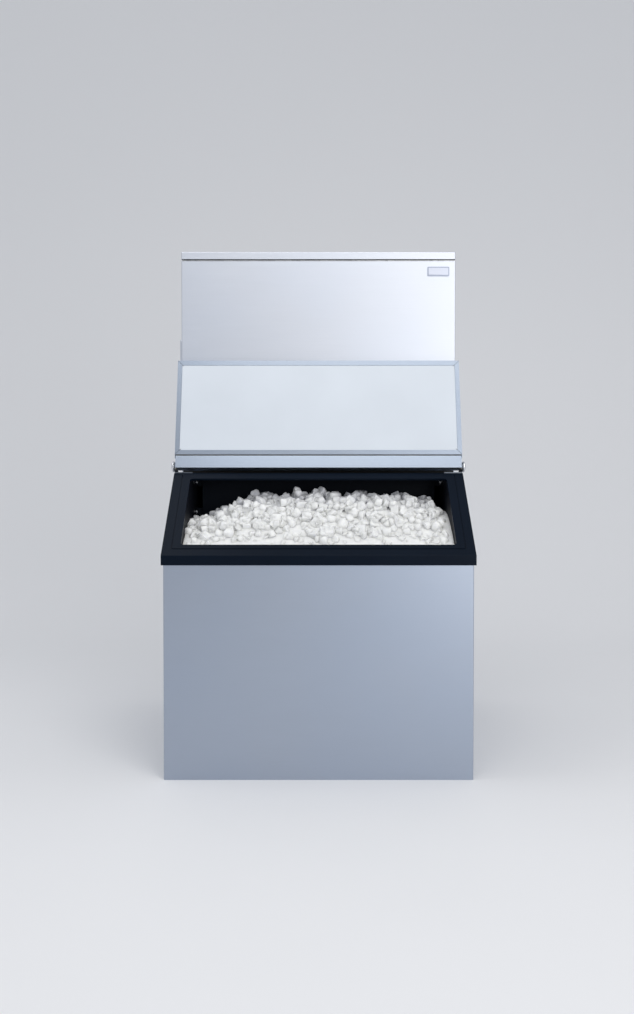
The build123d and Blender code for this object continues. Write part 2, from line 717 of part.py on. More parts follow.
ICE_CREST = 118.0
ICE_CREST_START = 0.8
ICE_LEFT_FALL = 66.0
ICE_LEFT_START = 0.5
ICE_LEFT_RUN = 0.35
ICE_RIGHT_FALL = 36.0
ICE_RIGHT_START = 0.74
ICE_RIGHT_RUN = 0.2
ICE_FRONT = SILL_Z - 4.0
ICE_BACK = DEFLECTOR_BOTTOM - 6.0
ICE_COLUMNS = 14
ICE_ROWS = 7
ICE_LUMPS = 90
ICE_SIZE = 26.0
ICE_MARGIN = 1.0
ICE_BACK_GAP = 16.0
ICE_DRAIN_GAP = 40.0


def ice_heap():
    """Frozen-together heap: sloping in front of the deflector, level behind it, with lumps."""
    half = OPENING_HALF - ICE_MARGIN
    front = ROOM_FRONT + ICE_MARGIN
    back = DEFLECTOR_Y - ICE_BACK_GAP
    bulk = room() & box(-half, half, front, back, 0, ICE_FRONT - ICE_SIZE / 2)
    bulk += room() & box(-half, half, back, ROOM_BACK - ICE_DRAIN_GAP, 0, ICE_BACK)
    rows = [front + (back - front) * r / ICE_ROWS for r in range(ICE_ROWS + 1)]
    columns = [-half + 2 * half * c / ICE_COLUMNS for c in range(ICE_COLUMNS + 1)]
    sections = []
    for y in rows:
        top = [(x, ice_slope(x, y)) for x in columns]
        outline = [(-half, ICE_FRONT - ICE_SIZE), *top, (half, ICE_FRONT - ICE_SIZE)]
        place = Plane((0, y, 0), x_dir=(1, 0, 0), z_dir=(0, -1, 0))
        sections.append(place * Polygon(*outline, align=None))
    heap = loft(sections, ruled=True)
    lumps = []
    for _ in range(ICE_LUMPS):
        x = random.uniform(-half + ICE_SIZE, half - ICE_SIZE)
        y = random.uniform(front + ICE_SIZE, back - ICE_SIZE)
        turn = (random.uniform(0, 90), random.uniform(0, 90), random.uniform(0, 90))
        side = ICE_SIZE * random.uniform(0.8, 1.1)
        lumps.append(Pos(x, y, ice_slope(x, y)) * (Rot(*turn) * Box(side, side, side * 0.8)))
    sill = prism_x(
        [
            (SILL_Y + (SILL_Z - ICE_FRONT) * math.tan(SLOPE), ICE_FRONT),
            (front + 1, ICE_FRONT),
            (front + 1, COLLAR_Z),
            (ROOM_FRONT, COLLAR_Z),
        ],
        -half,
        half,
    )
    return (bulk + heap + sill).fuse(*lumps)


# Head: panels and base
GASKET_INSET = 4.0
GASKET_WIDTH = 14.0
BASE_SHEET = 2.0
BASE_UPSTAND = 22.0
COLLAR_HEIGHT = 6.0
HEAD_GRILLE_PROUD = 6.0
GRILLE_FRONT = 14.0
GRILLE_LENGTH = 236.0
GRILLE_RISE = 37.0
GRILLE_HEIGHT = 337.0
GRILLE_SLOTS = 11
GRILLE_MARGIN = 18.0
GRILLE_CORNER = 5.0
GRILLE_EDGE = 1.5
SLOT_HEIGHT = 12.0
BLADE_SLANT = 3.0
RAIL_SET_BACK = 7.0
RAIL_HEIGHT = 26.0
RAIL_SHEET = 1.6
RAIL_FLANGE = 20.0
BADGE_WIDTH = 60.6
BADGE_HEIGHT = 25.6
BADGE_THICK = 1.6
BADGE_CORNER = 2.5
BADGE_RIM = 1.8
BADGE_SINK = 0.5
BADGE_FROM_RIGHT = 17.6
BADGE_FROM_TOP = 15.5
HOOK_FROM_SIDE = 81.0
HOOK_WIDTH = 30.0
HOOK_HEIGHT = 10.0
HOOK_DROP = 2.0
EXHAUST_SLOTS = 12
EXHAUST_FROM_SIDE = 60.0
EXHAUST_RISE = 297.0
EXHAUST_WIDTH = 8.0
EXHAUST_HEIGHT = 130.0

PANEL_TOP = CAP_BOTTOM - CAP_SHADOW
GRILLE_BOTTOM = HEAD_BOTTOM + GRILLE_RISE
GRILLE_TOP = GRILLE_BOTTOM + GRILLE_HEIGHT
HEAD_FLOOR = HEAD_BOTTOM + BASE_SHEET
GRILLE_Y0 = HEAD_FRONT_Y + GRILLE_FRONT
GRILLE_Y1 = GRILLE_Y0 + GRILLE_LENGTH


def head_gasket():
    """Closed foam strip between the bin's deck and the head."""
    x, y0, y1 = HALF - GASKET_INSET, HEAD_FRONT_Y + GASKET_INSET, BACK_Y - GASKET_INSET
    ring = box(-x, x, y0, y1, BIN_HEIGHT, HEAD_BOTTOM)
    w = GASKET_WIDTH
    return ring - box(-x + w, x - w, y0 + w, y1 - w, BIN_HEIGHT - 1, HEAD_BOTTOM + 1)


def head_base():
    """Galvanised tray with an upstand all round and a collar round the drop opening."""
    x, y0, y1 = HALF - SKIN, HEAD_FRONT_Y + SKIN, BACK_Y - SKIN
    tray = box(-x, x, y0, y1, HEAD_BOTTOM, HEAD_BOTTOM + BASE_UPSTAND)
    tray = fillet(tray.edges().filter_by(Axis.Z).group_by(Axis.Y)[0], BEND - SKIN)
    t = BASE_SHEET
    tray -= box(-x + t, x - t, y0 + t, y1 - t, HEAD_FLOOR, HEAD_BOTTOM + BASE_UPSTAND + 1)
    tray += drop_hole(HEAD_BOTTOM, HEAD_FLOOR + COLLAR_HEIGHT, t)
    return tray - drop_hole(HEAD_BOTTOM - 1, HEAD_FLOOR + 10)


def head_side_panel(side):
    """Side sheet; the left one has the air intake behind its grille."""
    x0, x1 = sorted((side * HALF, side * (HALF - SKIN)))
    sheet = box(x0, x1, HEAD_FRONT_Y + PANEL_RETURN, BACK_Y - SKIN, HEAD_BOTTOM, CAP_BOTTOM)
    if side < 0:
        m = GRILLE_MARGIN
        sheet -= box(
            x0 - 1, x1 + 1, GRILLE_Y0 + m, GRILLE_Y1 - m, GRILLE_BOTTOM + m, GRILLE_TOP - m
        )
    return sheet


def side_grille():
    """Louvred intake plate that stands proud of the left side, with slanting blades."""
    x1 = -HALF
    x0 = x1 - HEAD_GRILLE_PROUD
    plate = box(x0, x1, GRILLE_Y0, GRILLE_Y1, GRILLE_BOTTOM, GRILLE_TOP)
    plate = fillet(plate.edges().filter_by(Axis.X), GRILLE_CORNER)
    plate = chamfer(plate.faces().sort_by(Axis.X)[0].edges(), GRILLE_EDGE)
    m = GRILLE_MARGIN
    pitch = (GRILLE_TOP - GRILLE_BOTTOM - 2 * m) / GRILLE_SLOTS
    for row in range(GRILLE_SLOTS):
        z = GRILLE_BOTTOM + m + pitch * (row + 0.5)
        half = SLOT_HEIGHT / 2
        slot = [
            (x0 - 1, z - half - BLADE_SLANT),
            (x1 + 1, z - half + BLADE_SLANT),
            (x1 + 1, z + half + BLADE_SLANT),
            (x0 - 1, z + half - BLADE_SLANT),
        ]
        outline = Plane.XZ.offset(-GRILLE_Y0 - m) * Polygon(*slot, align=None)
        plate -= extrude(outline, amount=GRILLE_LENGTH - 2 * m, dir=(0, 1, 0))
    return plate


def head_back_panel():
    """Back sheet with exhaust slots and holes for the water inlet and the cord entry."""
    sheet = box(-HALF, HALF, BACK_Y - SKIN, BACK_Y, HEAD_BOTTOM, CAP_BOTTOM)
    for n in range(EXHAUST_SLOTS):
        x = -HALF + EXHAUST_FROM_SIDE + n * EXHAUST_WIDTH * 2.5
        z = HEAD_BOTTOM + EXHAUST_RISE
        sheet -= box(x, x + EXHAUST_WIDTH, BACK_Y - 5, BACK_Y + 5, z, z + EXHAUST_HEIGHT)
    sheet -= rod("Y", BACK_Y - 5, 10, INLET_NECK + FIT, (INLET_X, INLET_Z))
    return sheet - rod("Y", BACK_Y - 5, 10, CORD_ENTRY_RADIUS + FIT, (CORD_X, CORD_Z))


INLET_RADIUS = 13.2
INLET_NECK = 12.0  # through the back panel
INLET_BORE = 8.0
INLET_RISE = 357.0
INLET_INSET = 78.0
CORD_ENTRY_RADIUS = 11.0
CORD_ENTRY_BORE = 5.0
CORD_ENTRY_PROUD = 8.0
CORD_FLANGE = 4.0
CORD_RISE = 417.0
INLET_X = DROP_RIGHT - INLET_INSET
INLET_Z = HEAD_BOTTOM + INLET_RISE
CORD_X = DROP_LEFT
CORD_Z = HEAD_BOTTOM + CORD_RISE


def top_cap():
    """Folded lid over the head, flush with the panels below it."""
    cap = box(-HALF, HALF, HEAD_FRONT_Y, BACK_Y, CAP_BOTTOM, HEAD_TOP)
    cap = fillet(cap.edges().filter_by(Axis.Z), BEND)
    cap = fillet(cap.faces().sort_by(Axis.Z)[-1].edges(), BEND - 0.5)
    x, y0, y1 = HALF - SKIN, HEAD_FRONT_Y + SKIN, BACK_Y - SKIN
    return cap - box(-x, x, y0, y1, CAP_BOTTOM - 1, HEAD_TOP - SKIN)


def front_rail():
    """Angle across the head's front, with two hooks that the front panel hangs on."""
    y = HEAD_FRONT_Y + RAIL_SET_BACK
    x = HALF - SKIN
    t, low, high = RAIL_SHEET, CAP_BOTTOM - RAIL_HEIGHT, CAP_BOTTOM
    rail = box(-x, x, y, y + t, low, high)
    rail += box(-x, x, y, y + RAIL_FLANGE, high - t, high)
    hook_x, hook_top = HALF - HOOK_FROM_SIDE, PANEL_TOP - HOOK_DROP
    for side in (-1, 1):
        rail += box(side * x, side * (x - t), y, HEAD_FRONT_Y + 2 * PANEL_RETURN, low, high)
        rail += box(
            side * hook_x, side * (hook_x - HOOK_WIDTH), HEAD_FRONT_Y + SKIN, y,
            hook_top - HOOK_HEIGHT, hook_top,
        )
    return rail


def head_front_panel():
    """Lift-off front sheet with rounded corners and folded sides."""
    return folded_front(HEAD_FRONT_Y, HEAD_BOTTOM, PANEL_TOP)


def badge_plate():
    """Plain framed plate at the front's upper right corner."""
    x1 = HALF - BADGE_FROM_RIGHT
    z1 = PANEL_TOP - BADGE_FROM_TOP
    y = HEAD_FRONT_Y
    plate = box(x1 - BADGE_WIDTH, x1, y - BADGE_THICK, y, z1 - BADGE_HEIGHT, z1)
    plate = fillet(plate.edges().filter_by(Axis.Y), BADGE_CORNER)
    rim = BADGE_RIM
    sunk = box(
        x1 - BADGE_WIDTH + rim, x1 - rim, y - BADGE_THICK - 1, y - BADGE_THICK + BADGE_SINK,
        z1 - BADGE_HEIGHT + rim, z1 - rim,
    )
    return plate - fillet(sunk.edges().filter_by(Axis.Y), BADGE_CORNER / 2)


# Evaporator bay, over the drop opening
BAY_WALL = 4.0
BAY_CLEAR = 6.0  # bay's inside, out from the drop opening's edge
BAY_BEHIND = 10.0
BAY_ABOVE = 22.0  # bay's top, over the distributor tube
CELL = 22.0
CELL_WALL = 2.0
CELL_DEPTH = 20.0
GRID_BACK = 3.0
GRID_SIDE_ROOM = 78.0  # beside the grid, for the pump's hose and the probe
GRID_RISE = 197.0
HEAD_ROOM = 81.0  # from the grid's top to the cap
GRID_SET_BACK = 50.0
STANDOFF = 5.0
STANDOFF_INSET = 20.0
STANDOFF_RAISE = 6.0
COIL_TUBE = 5.0
COIL_ROWS = 6
COIL_INSET = 30.0
SUMP_RISE = 85.0
SUMP_HEIGHT = 58.0
SUMP_AHEAD = 26.0
SUMP_WALL = 3.0
SUMP_CORNER = 6.0
CURTAIN_AHEAD = 20.0
CURTAIN_BELOW = 4.0  # hinge line, under the grid's top edge
CURTAIN_HANG = 30.0  # how far it hangs under the grid
CURTAIN_THICK = 2.5
CURTAIN_GAP = 3.0
CURTAIN_RIBS = 7
RIB_WIDTH = 3.0
RIB_DEPTH = 5.0
CURTAIN_PIN = 3.0
CURTAIN_EYE = 7.0
EYE_LENGTH = 8.0
PIN_HEAD = 3.0
TUBE_RADIUS = 11.0
TUBE_BORE = 9.0
TUBE_ABOVE = 20.0
TUBE_BEHIND = 12.0
TUBE_PLUG = 4.0
TUBE_HOLES = 10
TUBE_HOLE = 1.5

BAY_LEFT = DROP_LEFT - BAY_CLEAR
BAY_RIGHT = DROP_RIGHT + BAY_CLEAR
BAY_FRONT = DROP_FRONT - BAY_CLEAR
BAY_BACK = DROP_BACK + BAY_BEHIND
GRID_PITCH = CELL + CELL_WALL
GRID_LEFT = DROP_LEFT + BAY_CLEAR
GRID_BOTTOM = HEAD_FLOOR + GRID_RISE
CELL_COLUMNS = int((DROP_WIDTH - GRID_SIDE_ROOM - CELL_WALL) / GRID_PITCH + 0.01)
CELL_ROWS = int((CAP_BOTTOM - HEAD_ROOM - GRID_BOTTOM - CELL_WALL) / GRID_PITCH + 0.01)
GRID_WIDTH = CELL_COLUMNS * GRID_PITCH + CELL_WALL
GRID_HEIGHT = CELL_ROWS * GRID_PITCH + CELL_WALL
GRID_Y = BAY_BACK - GRID_SET_BACK
GRID_TOP = GRID_BOTTOM + GRID_HEIGHT
SUMP_FRONT = GRID_Y - SUMP_AHEAD
SUMP_BOTTOM = HEAD_FLOOR + SUMP_RISE
SUMP_TOP = SUMP_BOTTOM + SUMP_HEIGHT
CURTAIN_Y = GRID_Y - CURTAIN_AHEAD
CURTAIN_Z = GRID_TOP - CURTAIN_BELOW
CURTAIN_LOW = GRID_BOTTOM - CURTAIN_HANG
TUBE_Y = GRID_Y + TUBE_BEHIND
TUBE_Z = GRID_TOP + TUBE_ABOVE
BAY_TOP = TUBE_Z + BAY_ABOVE


def evaporator_bay():
    """Moulded three-sided housing that stands on the head's base round the drop opening."""
    t, z0 = BAY_WALL, HEAD_FLOOR
    bay = box(BAY_LEFT - t, BAY_RIGHT + t, BAY_FRONT, BAY_BACK + t, z0, BAY_TOP)
    bay -= box(BAY_LEFT, BAY_RIGHT, BAY_FRONT - 1, BAY_BACK, z0 - 1, BAY_TOP + 1)
    across = BAY_RIGHT - BAY_LEFT + 4 * t
    return bay - rod("X", BAY_LEFT - 2 * t, across, CURTAIN_PIN + FIT, (CURTAIN_Y, CURTAIN_Z))


def evaporator_plate():
    """Cell grid that the cubes freeze in: square pockets in rows, on standoffs."""
    x1 = GRID_LEFT + GRID_WIDTH
    back = GRID_Y + CELL_DEPTH + GRID_BACK
    plate = box(GRID_LEFT, x1, GRID_Y, back, GRID_BOTTOM, GRID_TOP)
    pockets = []
    for column in range(CELL_COLUMNS):
        for row in range(CELL_ROWS):
            x = GRID_LEFT + CELL_WALL + column * GRID_PITCH
            z = GRID_BOTTOM + CELL_WALL + row * GRID_PITCH
            pockets.append(box(x, x + CELL, GRID_Y - 1, GRID_Y + CELL_DEPTH, z, z + CELL))
    plate = plate.cut(*pockets)
    for x in (GRID_LEFT + STANDOFF_INSET, x1 - STANDOFF_INSET):
        for z in (GRID_BOTTOM + STANDOFF_RAISE, GRID_TOP - STANDOFF_RAISE):
            plate += rod("Y", back, BAY_BACK - back, STANDOFF, (x, z))
    return plate


def evaporator_coil():
    """Serpentine refrigerant tube soldered across the grid's back."""
    y = GRID_Y + CELL_DEPTH + GRID_BACK + COIL_TUBE
    left, right = GRID_LEFT + COIL_INSET, GRID_LEFT + GRID_WIDTH - COIL_INSET
    step = (GRID_HEIGHT - 2 * COIL_INSET) / (COIL_ROWS - 1)
    points = []
    for row in range(COIL_ROWS):
        z = GRID_BOTTOM + COIL_INSET + row * step
        ends = (left, right) if row % 2 == 0 else (right, left)
        points += [(ends[0], y, z), (ends[1], y, z)]
    return pipe(points, COIL_TUBE, step * 0.45)


def water_sump():
    """Trough under the grid, between the bay's side walls."""
    trough = box(BAY_LEFT, BAY_RIGHT, SUMP_FRONT, BAY_BACK, SUMP_BOTTOM, SUMP_TOP)
    w = SUMP_WALL
    hollow = box(
        BAY_LEFT + w, BAY_RIGHT - w, SUMP_FRONT + w, BAY_BACK - w, SUMP_BOTTOM + w, SUMP_TOP + 1
    )
    return trough - fillet(hollow.edges().filter_by(Axis.Z), SUMP_CORNER)


def water_distributor():
    """Drilled tube over the grid, plugged into both walls of the bay."""
    length = BAY_RIGHT - BAY_LEFT
    tube = rod("X", BAY_LEFT, length, TUBE_RADIUS, (TUBE_Y, TUBE_Z))
    tube -= rod("X", BAY_LEFT + TUBE_PLUG, length - 2 * TUBE_PLUG, TUBE_BORE, (TUBE_Y, TUBE_Z))
    for n in range(TUBE_HOLES):
        x = GRID_LEFT + GRID_WIDTH * (n + 0.5) / TUBE_HOLES
        tube -= rod("Y", TUBE_Y - TUBE_RADIUS - 1, TUBE_RADIUS, TUBE_HOLE, (x, TUBE_Z))
    return tube - rod("Z", TUBE_Z - TUBE_RADIUS - 1, TUBE_RADIUS, HOSE_BORE, (HOSE_X, TUBE_Y))


def water_curtain():
    """Thin hanging splash curtain with ribs and an eye at each upper corner."""
    x0, x1 = BAY_LEFT + CURTAIN_GAP, BAY_RIGHT - CURTAIN_GAP
    y = CURTAIN_Y
    sheet = box(x0, x1, y, y + CURTAIN_THICK, CURTAIN_LOW, CURTAIN_Z)
    for n in range(CURTAIN_RIBS):
        x = x0 + (x1 - x0 - RIB_WIDTH) * n / (CURTAIN_RIBS - 1)
        sheet += box(x, x + RIB_WIDTH, y - RIB_DEPTH, y, CURTAIN_LOW, CURTAIN_Z - CURTAIN_EYE)
    for x in (x0, x1 - EYE_LENGTH):
        sheet += rod("X", x, EYE_LENGTH, CURTAIN_EYE, (y, CURTAIN_Z))
    for x in (x0 - 1, x1 - EYE_LENGTH - 1):
        sheet -= rod("X", x, EYE_LENGTH + 2, CURTAIN_PIN + RUNNING, (y, CURTAIN_Z))
    return sheet


def curtain_pins():
    """Two headed pins from outside the bay's walls into the curtain's eyes."""
    reach = CURTAIN_GAP + EYE_LENGTH - 1.0
    at = (CURTAIN_Y, CURTAIN_Z)
    left = rod("X", BAY_LEFT - BAY_WALL, BAY_WALL + reach, CURTAIN_PIN, at)
    left += rod("X", BAY_LEFT - BAY_WALL - PIN_HEAD, PIN_HEAD, CURTAIN_PIN * 2, at)
    right = rod("X", BAY_RIGHT - reach, BAY_WALL + reach, CURTAIN_PIN, at)
    right += rod("X", BAY_RIGHT + BAY_WALL, PIN_HEAD, CURTAIN_PIN * 2, at)
    return Compound(children=[left.solid(), right.solid()])


# Water pump, in the sump's right end
PUMP_INSET = 37.0
PUMP_BEHIND = 8.0
MOTOR_RADIUS = 19.0
MOTOR_HEIGHT = 46.0
VOLUTE_RADIUS = 18.0
VOLUTE_HEIGHT = 16.0
IMPELLER_RADIUS = 13.0
VANES = 4
VANE_THICK = 1.6
VANE_HEIGHT = 9.0
SHAFT_RADIUS = 2.5
SHAFT_END = 29.0  # over the sump's top edge
HOSE_INSET = 10.0
HOSE_RADIUS = 6.0
HOSE_BORE = 4.0
SPIGOT_WALL = 2.0
SPIGOT_HEIGHT = 6.0
PLATE_THICK = 4.0
VOLUTE_WALL = 2.0
VOLUTE_RAISE = 6.0
PUMP_X = DROP_RIGHT - PUMP_INSET
PUMP_Y = GRID_Y + PUMP_BEHIND
HOSE_X = DROP_RIGHT - HOSE_INSET
PUMP_LOW = SUMP_BOTTOM + SUMP_WALL + VOLUTE_RAISE


def pump_housing():
    """Motor can on a plate across the sump, with a stem down to an open-bottomed volute."""
    at, plate_z, low = (PUMP_X, PUMP_Y), SUMP_TOP, PUMP_LOW
    plate_x = PUMP_X - MOTOR_RADIUS * 1.4
    plate_top = plate_z + PLATE_THICK
    housing = box(plate_x, BAY_RIGHT, SUMP_FRONT, BAY_BACK, plate_z, plate_top)
    housing += rod("Z", plate_top, MOTOR_HEIGHT, MOTOR_RADIUS, at)
    housing += rod("Z", low, plate_z - low, SHAFT_RADIUS + 2 * VOLUTE_WALL, at)
    housing += rod("Z", low, VOLUTE_HEIGHT, VOLUTE_RADIUS, at)
    housing += rod("Z", plate_top, SPIGOT_HEIGHT, HOSE_RADIUS + SPIGOT_WALL, (HOSE_X, TUBE_Y))
    housing -= rod("Z", plate_z - 1, PLATE_THICK + SPIGOT_HEIGHT + 2, HOSE_BORE, (HOSE_X, TUBE_Y))
    housing -= rod("Z", low - 1, VOLUTE_HEIGHT - VOLUTE_WALL, VOLUTE_RADIUS - VOLUTE_WALL, at)
    return housing - rod("Z", low, plate_z + SHAFT_END + 1 - low, SHAFT_RADIUS + RUNNING, at)


def pump_impeller():
    """Shaft with a vaned wheel at its foot."""
    low = PUMP_LOW + 1
    at = (PUMP_X, PUMP_Y)
    wheel = rod("Z", low, SUMP_TOP + SHAFT_END - low, SHAFT_RADIUS, at)
    wheel += rod("Z", low + VANE_HEIGHT, VANE_THICK, IMPELLER_RADIUS, at)
    for n in range(VANES):
        vane = box(0, IMPELLER_RADIUS - 1, -VANE_THICK / 2, VANE_THICK / 2, 0, VANE_HEIGHT)
        wheel += Pos(PUMP_X, PUMP_Y, low) * (Rot(0, 0, n * 360 / VANES) * vane)
    return wheel


def pump_hose():
    """Hose from the pump's plate up to the distributor."""
    z0 = SUMP_TOP + PLATE_THICK + SPIGOT_HEIGHT
    z1 = TUBE_Z - TUBE_RADIUS
    hose = rod("Z", z0, z1 - z0, HOSE_RADIUS, (HOSE_X, TUBE_Y))
    return hose - rod("Z", z0 - 1, z1 - z0 + 2, HOSE_BORE, (HOSE_X, TUBE_Y))


# Float valve, in the sump's left end
FLOAT_INSET = 26.0
FLOAT_AHEAD = 12.0
FLOAT_DROP = 16.0
FLOAT_ARM = 46.0
FLOAT_RADIUS = 12.0
FLOAT_HEIGHT = 18.0
FLOAT_PIN = 1.5
FORK_GAP = 3.4
FORK_WALL = 2.5
FORK_HALF = 5.0
VALVE_HALF = 9.0
VALVE_RAISE = 14.0
FLOAT_X = BAY_LEFT + FLOAT_INSET
FLOAT_PIVOT_Y = BAY_BACK - SUMP_WALL - FLOAT_AHEAD
FLOAT_PIVOT_Z = SUMP_TOP - FLOAT_DROP


def float_valve():
    """Valve body on the sump's back wall, with a fork and its pin for the float's arm."""
    x, y, z, f = FLOAT_X, FLOAT_PIVOT_Y, FLOAT_PIVOT_Z, FORK_HALF
    wide = VALVE_HALF
    body = box(x - wide, x + wide, y + f, BAY_BACK - SUMP_WALL, z - wide, SUMP_TOP + VALVE_RAISE)
    for side in (-1, 1):
        x0 = x + side * FORK_GAP
        body += box(x0, x0 + side * FORK_WALL, y - f, y + f + 1, z - f, z + f)
    return body + rod("X", x - FORK_GAP - 1, 2 * FORK_GAP + 2, FLOAT_PIN, (y, z))


def float_arm():
    """Arm with an eye at the fork and a sealed float at its far end."""
    x, y, z = FLOAT_X, FLOAT_PIVOT_Y, FLOAT_PIVOT_Z
    width = FORK_GAP - 0.4
    eye = FORK_HALF - 1.0
    arm = rod("X", x - width, width * 2, eye, (y, z))
    arm += box(x - width, x + width, y - FLOAT_ARM, y, z - eye / 2, z + eye / 2)
    arm += rod("Z", z - FLOAT_HEIGHT, FLOAT_HEIGHT, FLOAT_RADIUS, (x, y - FLOAT_ARM + eye / 2))
    return arm - rod("X", x - 2 * width, 4 * width, FLOAT_PIN + RUNNING, (y, z))


PROBE_ARM = 8.0
PROBE_DROP = 40.0
PROBE_LENGTH = 60.0
PROBE_CORNER = 3.0


def thickness_probe():
    """Sensor finger that hangs close to the ice's face from an arm beside the grid."""
    t = PROBE_ARM
    x = GRID_LEFT + GRID_WIDTH + t
    y, z = GRID_Y - t, GRID_TOP - PROBE_DROP
    probe = box(x, x + t, y, BAY_BACK, z, z + t)
    probe += box(x - 1.75 * t, x + t, y, y + t / 2, z - PROBE_LENGTH, z + t)
    return fillet(probe.edges().filter_by(Axis.Y).group_by(Axis.X)[0], PROBE_CORNER)


# Machine compartment, on the left
BULKHEAD_GAP = 26.0
BULKHEAD_SHEET = 1.5
BULKHEAD_FOOT = 16.0
COIL_GAP = 6.0
COIL_THICK = 40.0
COIL_INSIDE = 6.0  # how far the coil stays inside the grille's outline
COIL_RAISE = 22.0
COIL_PLATE = 2.0
COIL_PASSES = 5
COIL_PASS = 5.0
FINS = 16
FIN_THICK = 1.2
SHROUD_THICK = 2.0
SHROUD_DEPTH = 26.0
FAN_RADIUS = 96.0
FAN_HUB = 22.0
FAN_DEPTH = 18.0
FAN_BLADES = 5
FAN_TIP_GAP = 5.0
FAN_MOTOR_RADIUS = 38.0
FAN_MOTOR_LENGTH = 60.0
FAN_SHAFT = 4.0
FAN_GAP = 8.0
FAN_PITCH = 24.0  # degrees out of the fan's plane
BLADE_THICK = 1.8
BLADE_WIDTH = 60.0
MOTOR_GAP = 6.0
MOTOR_BOSS = 12.0
STRAP_WIDTH = 16.0
BULKHEAD_X = BAY_LEFT - BULKHEAD_GAP
COIL_X0 = -HALF + SKIN + COIL_GAP
CONDENSER_Y0 = GRILLE_Y0 + COIL_INSIDE
CONDENSER_Y1 = GRILLE_Y1 - COIL_INSIDE
CONDENSER_Z0 = HEAD_FLOOR + COIL_RAISE
CONDENSER_Z1 = GRILLE_TOP - COIL_INSIDE


def bulkhead():
    """Sheet wall between the machine compartment and the evaporator bay, with a foot."""
    x, t = BULKHEAD_X, BULKHEAD_SHEET
    y0, y1 = BAY_FRONT, BACK_Y - SKIN - BASE_SHEET
    wall = box(x, x + t, y0, y1, HEAD_FLOOR, CAP_BOTTOM - RAIL_HEIGHT)
    return wall + box(x, x + BULKHEAD_FOOT, y0, y1, HEAD_FLOOR, HEAD_FLOOR + t)


FAN_Y = (CONDENSER_Y0 + CONDENSER_Y1) / 2
FAN_Z = (CONDENSER_Z0 + CONDENSER_Z1) / 2
SHROUD_X0 = COIL_X0 + COIL_THICK
FAN_X0 = SHROUD_X0 + FAN_GAP
MOTOR_X0 = FAN_X0 + FAN_DEPTH + MOTOR_GAP


def condenser_coil():
    """Finned coil on two feet: end plates, fins and tubes joined by return bends."""
    x0, x1 = COIL_X0, COIL_X0 + COIL_THICK
    y0, y1 = CONDENSER_Y0, CONDENSER_Y1
    t = COIL_PLATE
    coil = box(x0, x1, y0, y0 + t, HEAD_FLOOR, CONDENSER_Z1)
    coil += box(x0, x1, y1 - t, y1, HEAD_FLOOR, CONDENSER_Z1)
    for n in range(1, FINS):
        y = y0 + (y1 - y0) * n / FINS
        coil += box(x0 + t, x1 - t, y, y + FIN_THICK, CONDENSER_Z0, CONDENSER_Z1 - t)
    for n in range(COIL_PASSES):
        z = CONDENSER_Z0 + (CONDENSER_Z1 - CONDENSER_Z0) * (n + 0.5) / COIL_PASSES
        coil += rod("Y", y0, y1 - y0, COIL_PASS, ((x0 + x1) / 2, z))
    return coil


def fan_shroud():
    """Sheet with a round throat that carries the fan motor on two straps."""
    x0, x1 = SHROUD_X0, SHROUD_X0 + SHROUD_THICK
    hole = FAN_RADIUS + FAN_TIP_GAP
    shroud = box(x0, x1, CONDENSER_Y0, CONDENSER_Y1, HEAD_FLOOR, CONDENSER_Z1)
    t, at = SHROUD_THICK, (FAN_Y, FAN_Z)
    ring = rod("X", x0, SHROUD_DEPTH, hole + t, at)
    shroud = shroud + ring - rod("X", x0 - 1, SHROUD_DEPTH + 2, hole, at)
    z0, z1 = FAN_Z - STRAP_WIDTH / 2, FAN_Z + STRAP_WIDTH / 2
    for side in (-1, 1):
        root, end = FAN_Y + side * (hole + t / 2), FAN_Y + side * FAN_MOTOR_RADIUS * 0.85
        shroud += box(MOTOR_X0, MOTOR_X0 + t, root, end, z0, z1)
        shroud += box(x0, MOTOR_X0 + t, root, root - side * t, z0, z1)
    return shroud


SHAFT_DEPTH = FAN_MOTOR_LENGTH * 0.4


def fan_motor():
    """Round motor behind the straps, bored for the fan's shaft."""
    at, seat = (FAN_Y, FAN_Z), MOTOR_X0 + SHROUD_THICK
    motor = rod("X", seat, FAN_MOTOR_LENGTH, FAN_MOTOR_RADIUS, at)
    motor = chamfer(motor.edges().sort_by(Axis.X)[-1], FAN_MOTOR_RADIUS / 6)
    motor += rod("X", seat - MOTOR_GAP + 1, MOTOR_GAP - 1, MOTOR_BOSS, at)
    return motor - rod("X", seat - MOTOR_GAP, SHAFT_DEPTH + MOTOR_GAP, FAN_SHAFT + RUNNING, at)


def fan_blades():
    """Axial fan: hub, shaft and pitched blades with rounded tips."""
    place = Pos(FAN_X0, FAN_Y, FAN_Z)
    hub = rod("X", 0, FAN_DEPTH, FAN_HUB, (0, 0))
    shaft_end = MOTOR_X0 + SHROUD_THICK + SHAFT_DEPTH - 1 - FAN_X0
    rotor = hub + rod("X", FAN_DEPTH, shaft_end - FAN_DEPTH, FAN_SHAFT, (0, 0))
    tips = rod("X", -FAN_DEPTH, 3 * FAN_DEPTH, FAN_RADIUS, (0, 0))
    t, w = BLADE_THICK / 2, BLADE_WIDTH / 2
    for n in range(FAN_BLADES):
        blade = box(-t, t, -w, w, FAN_HUB * 0.64, FAN_RADIUS + FAN_TIP_GAP)
        blade = Pos(FAN_DEPTH / 2, 0, 0) * (Rot(0, 0, FAN_PITCH) * blade)
        rotor += Rot(n * 360 / FAN_BLADES, 0, 0) * (blade & tips)
    return place * rotor


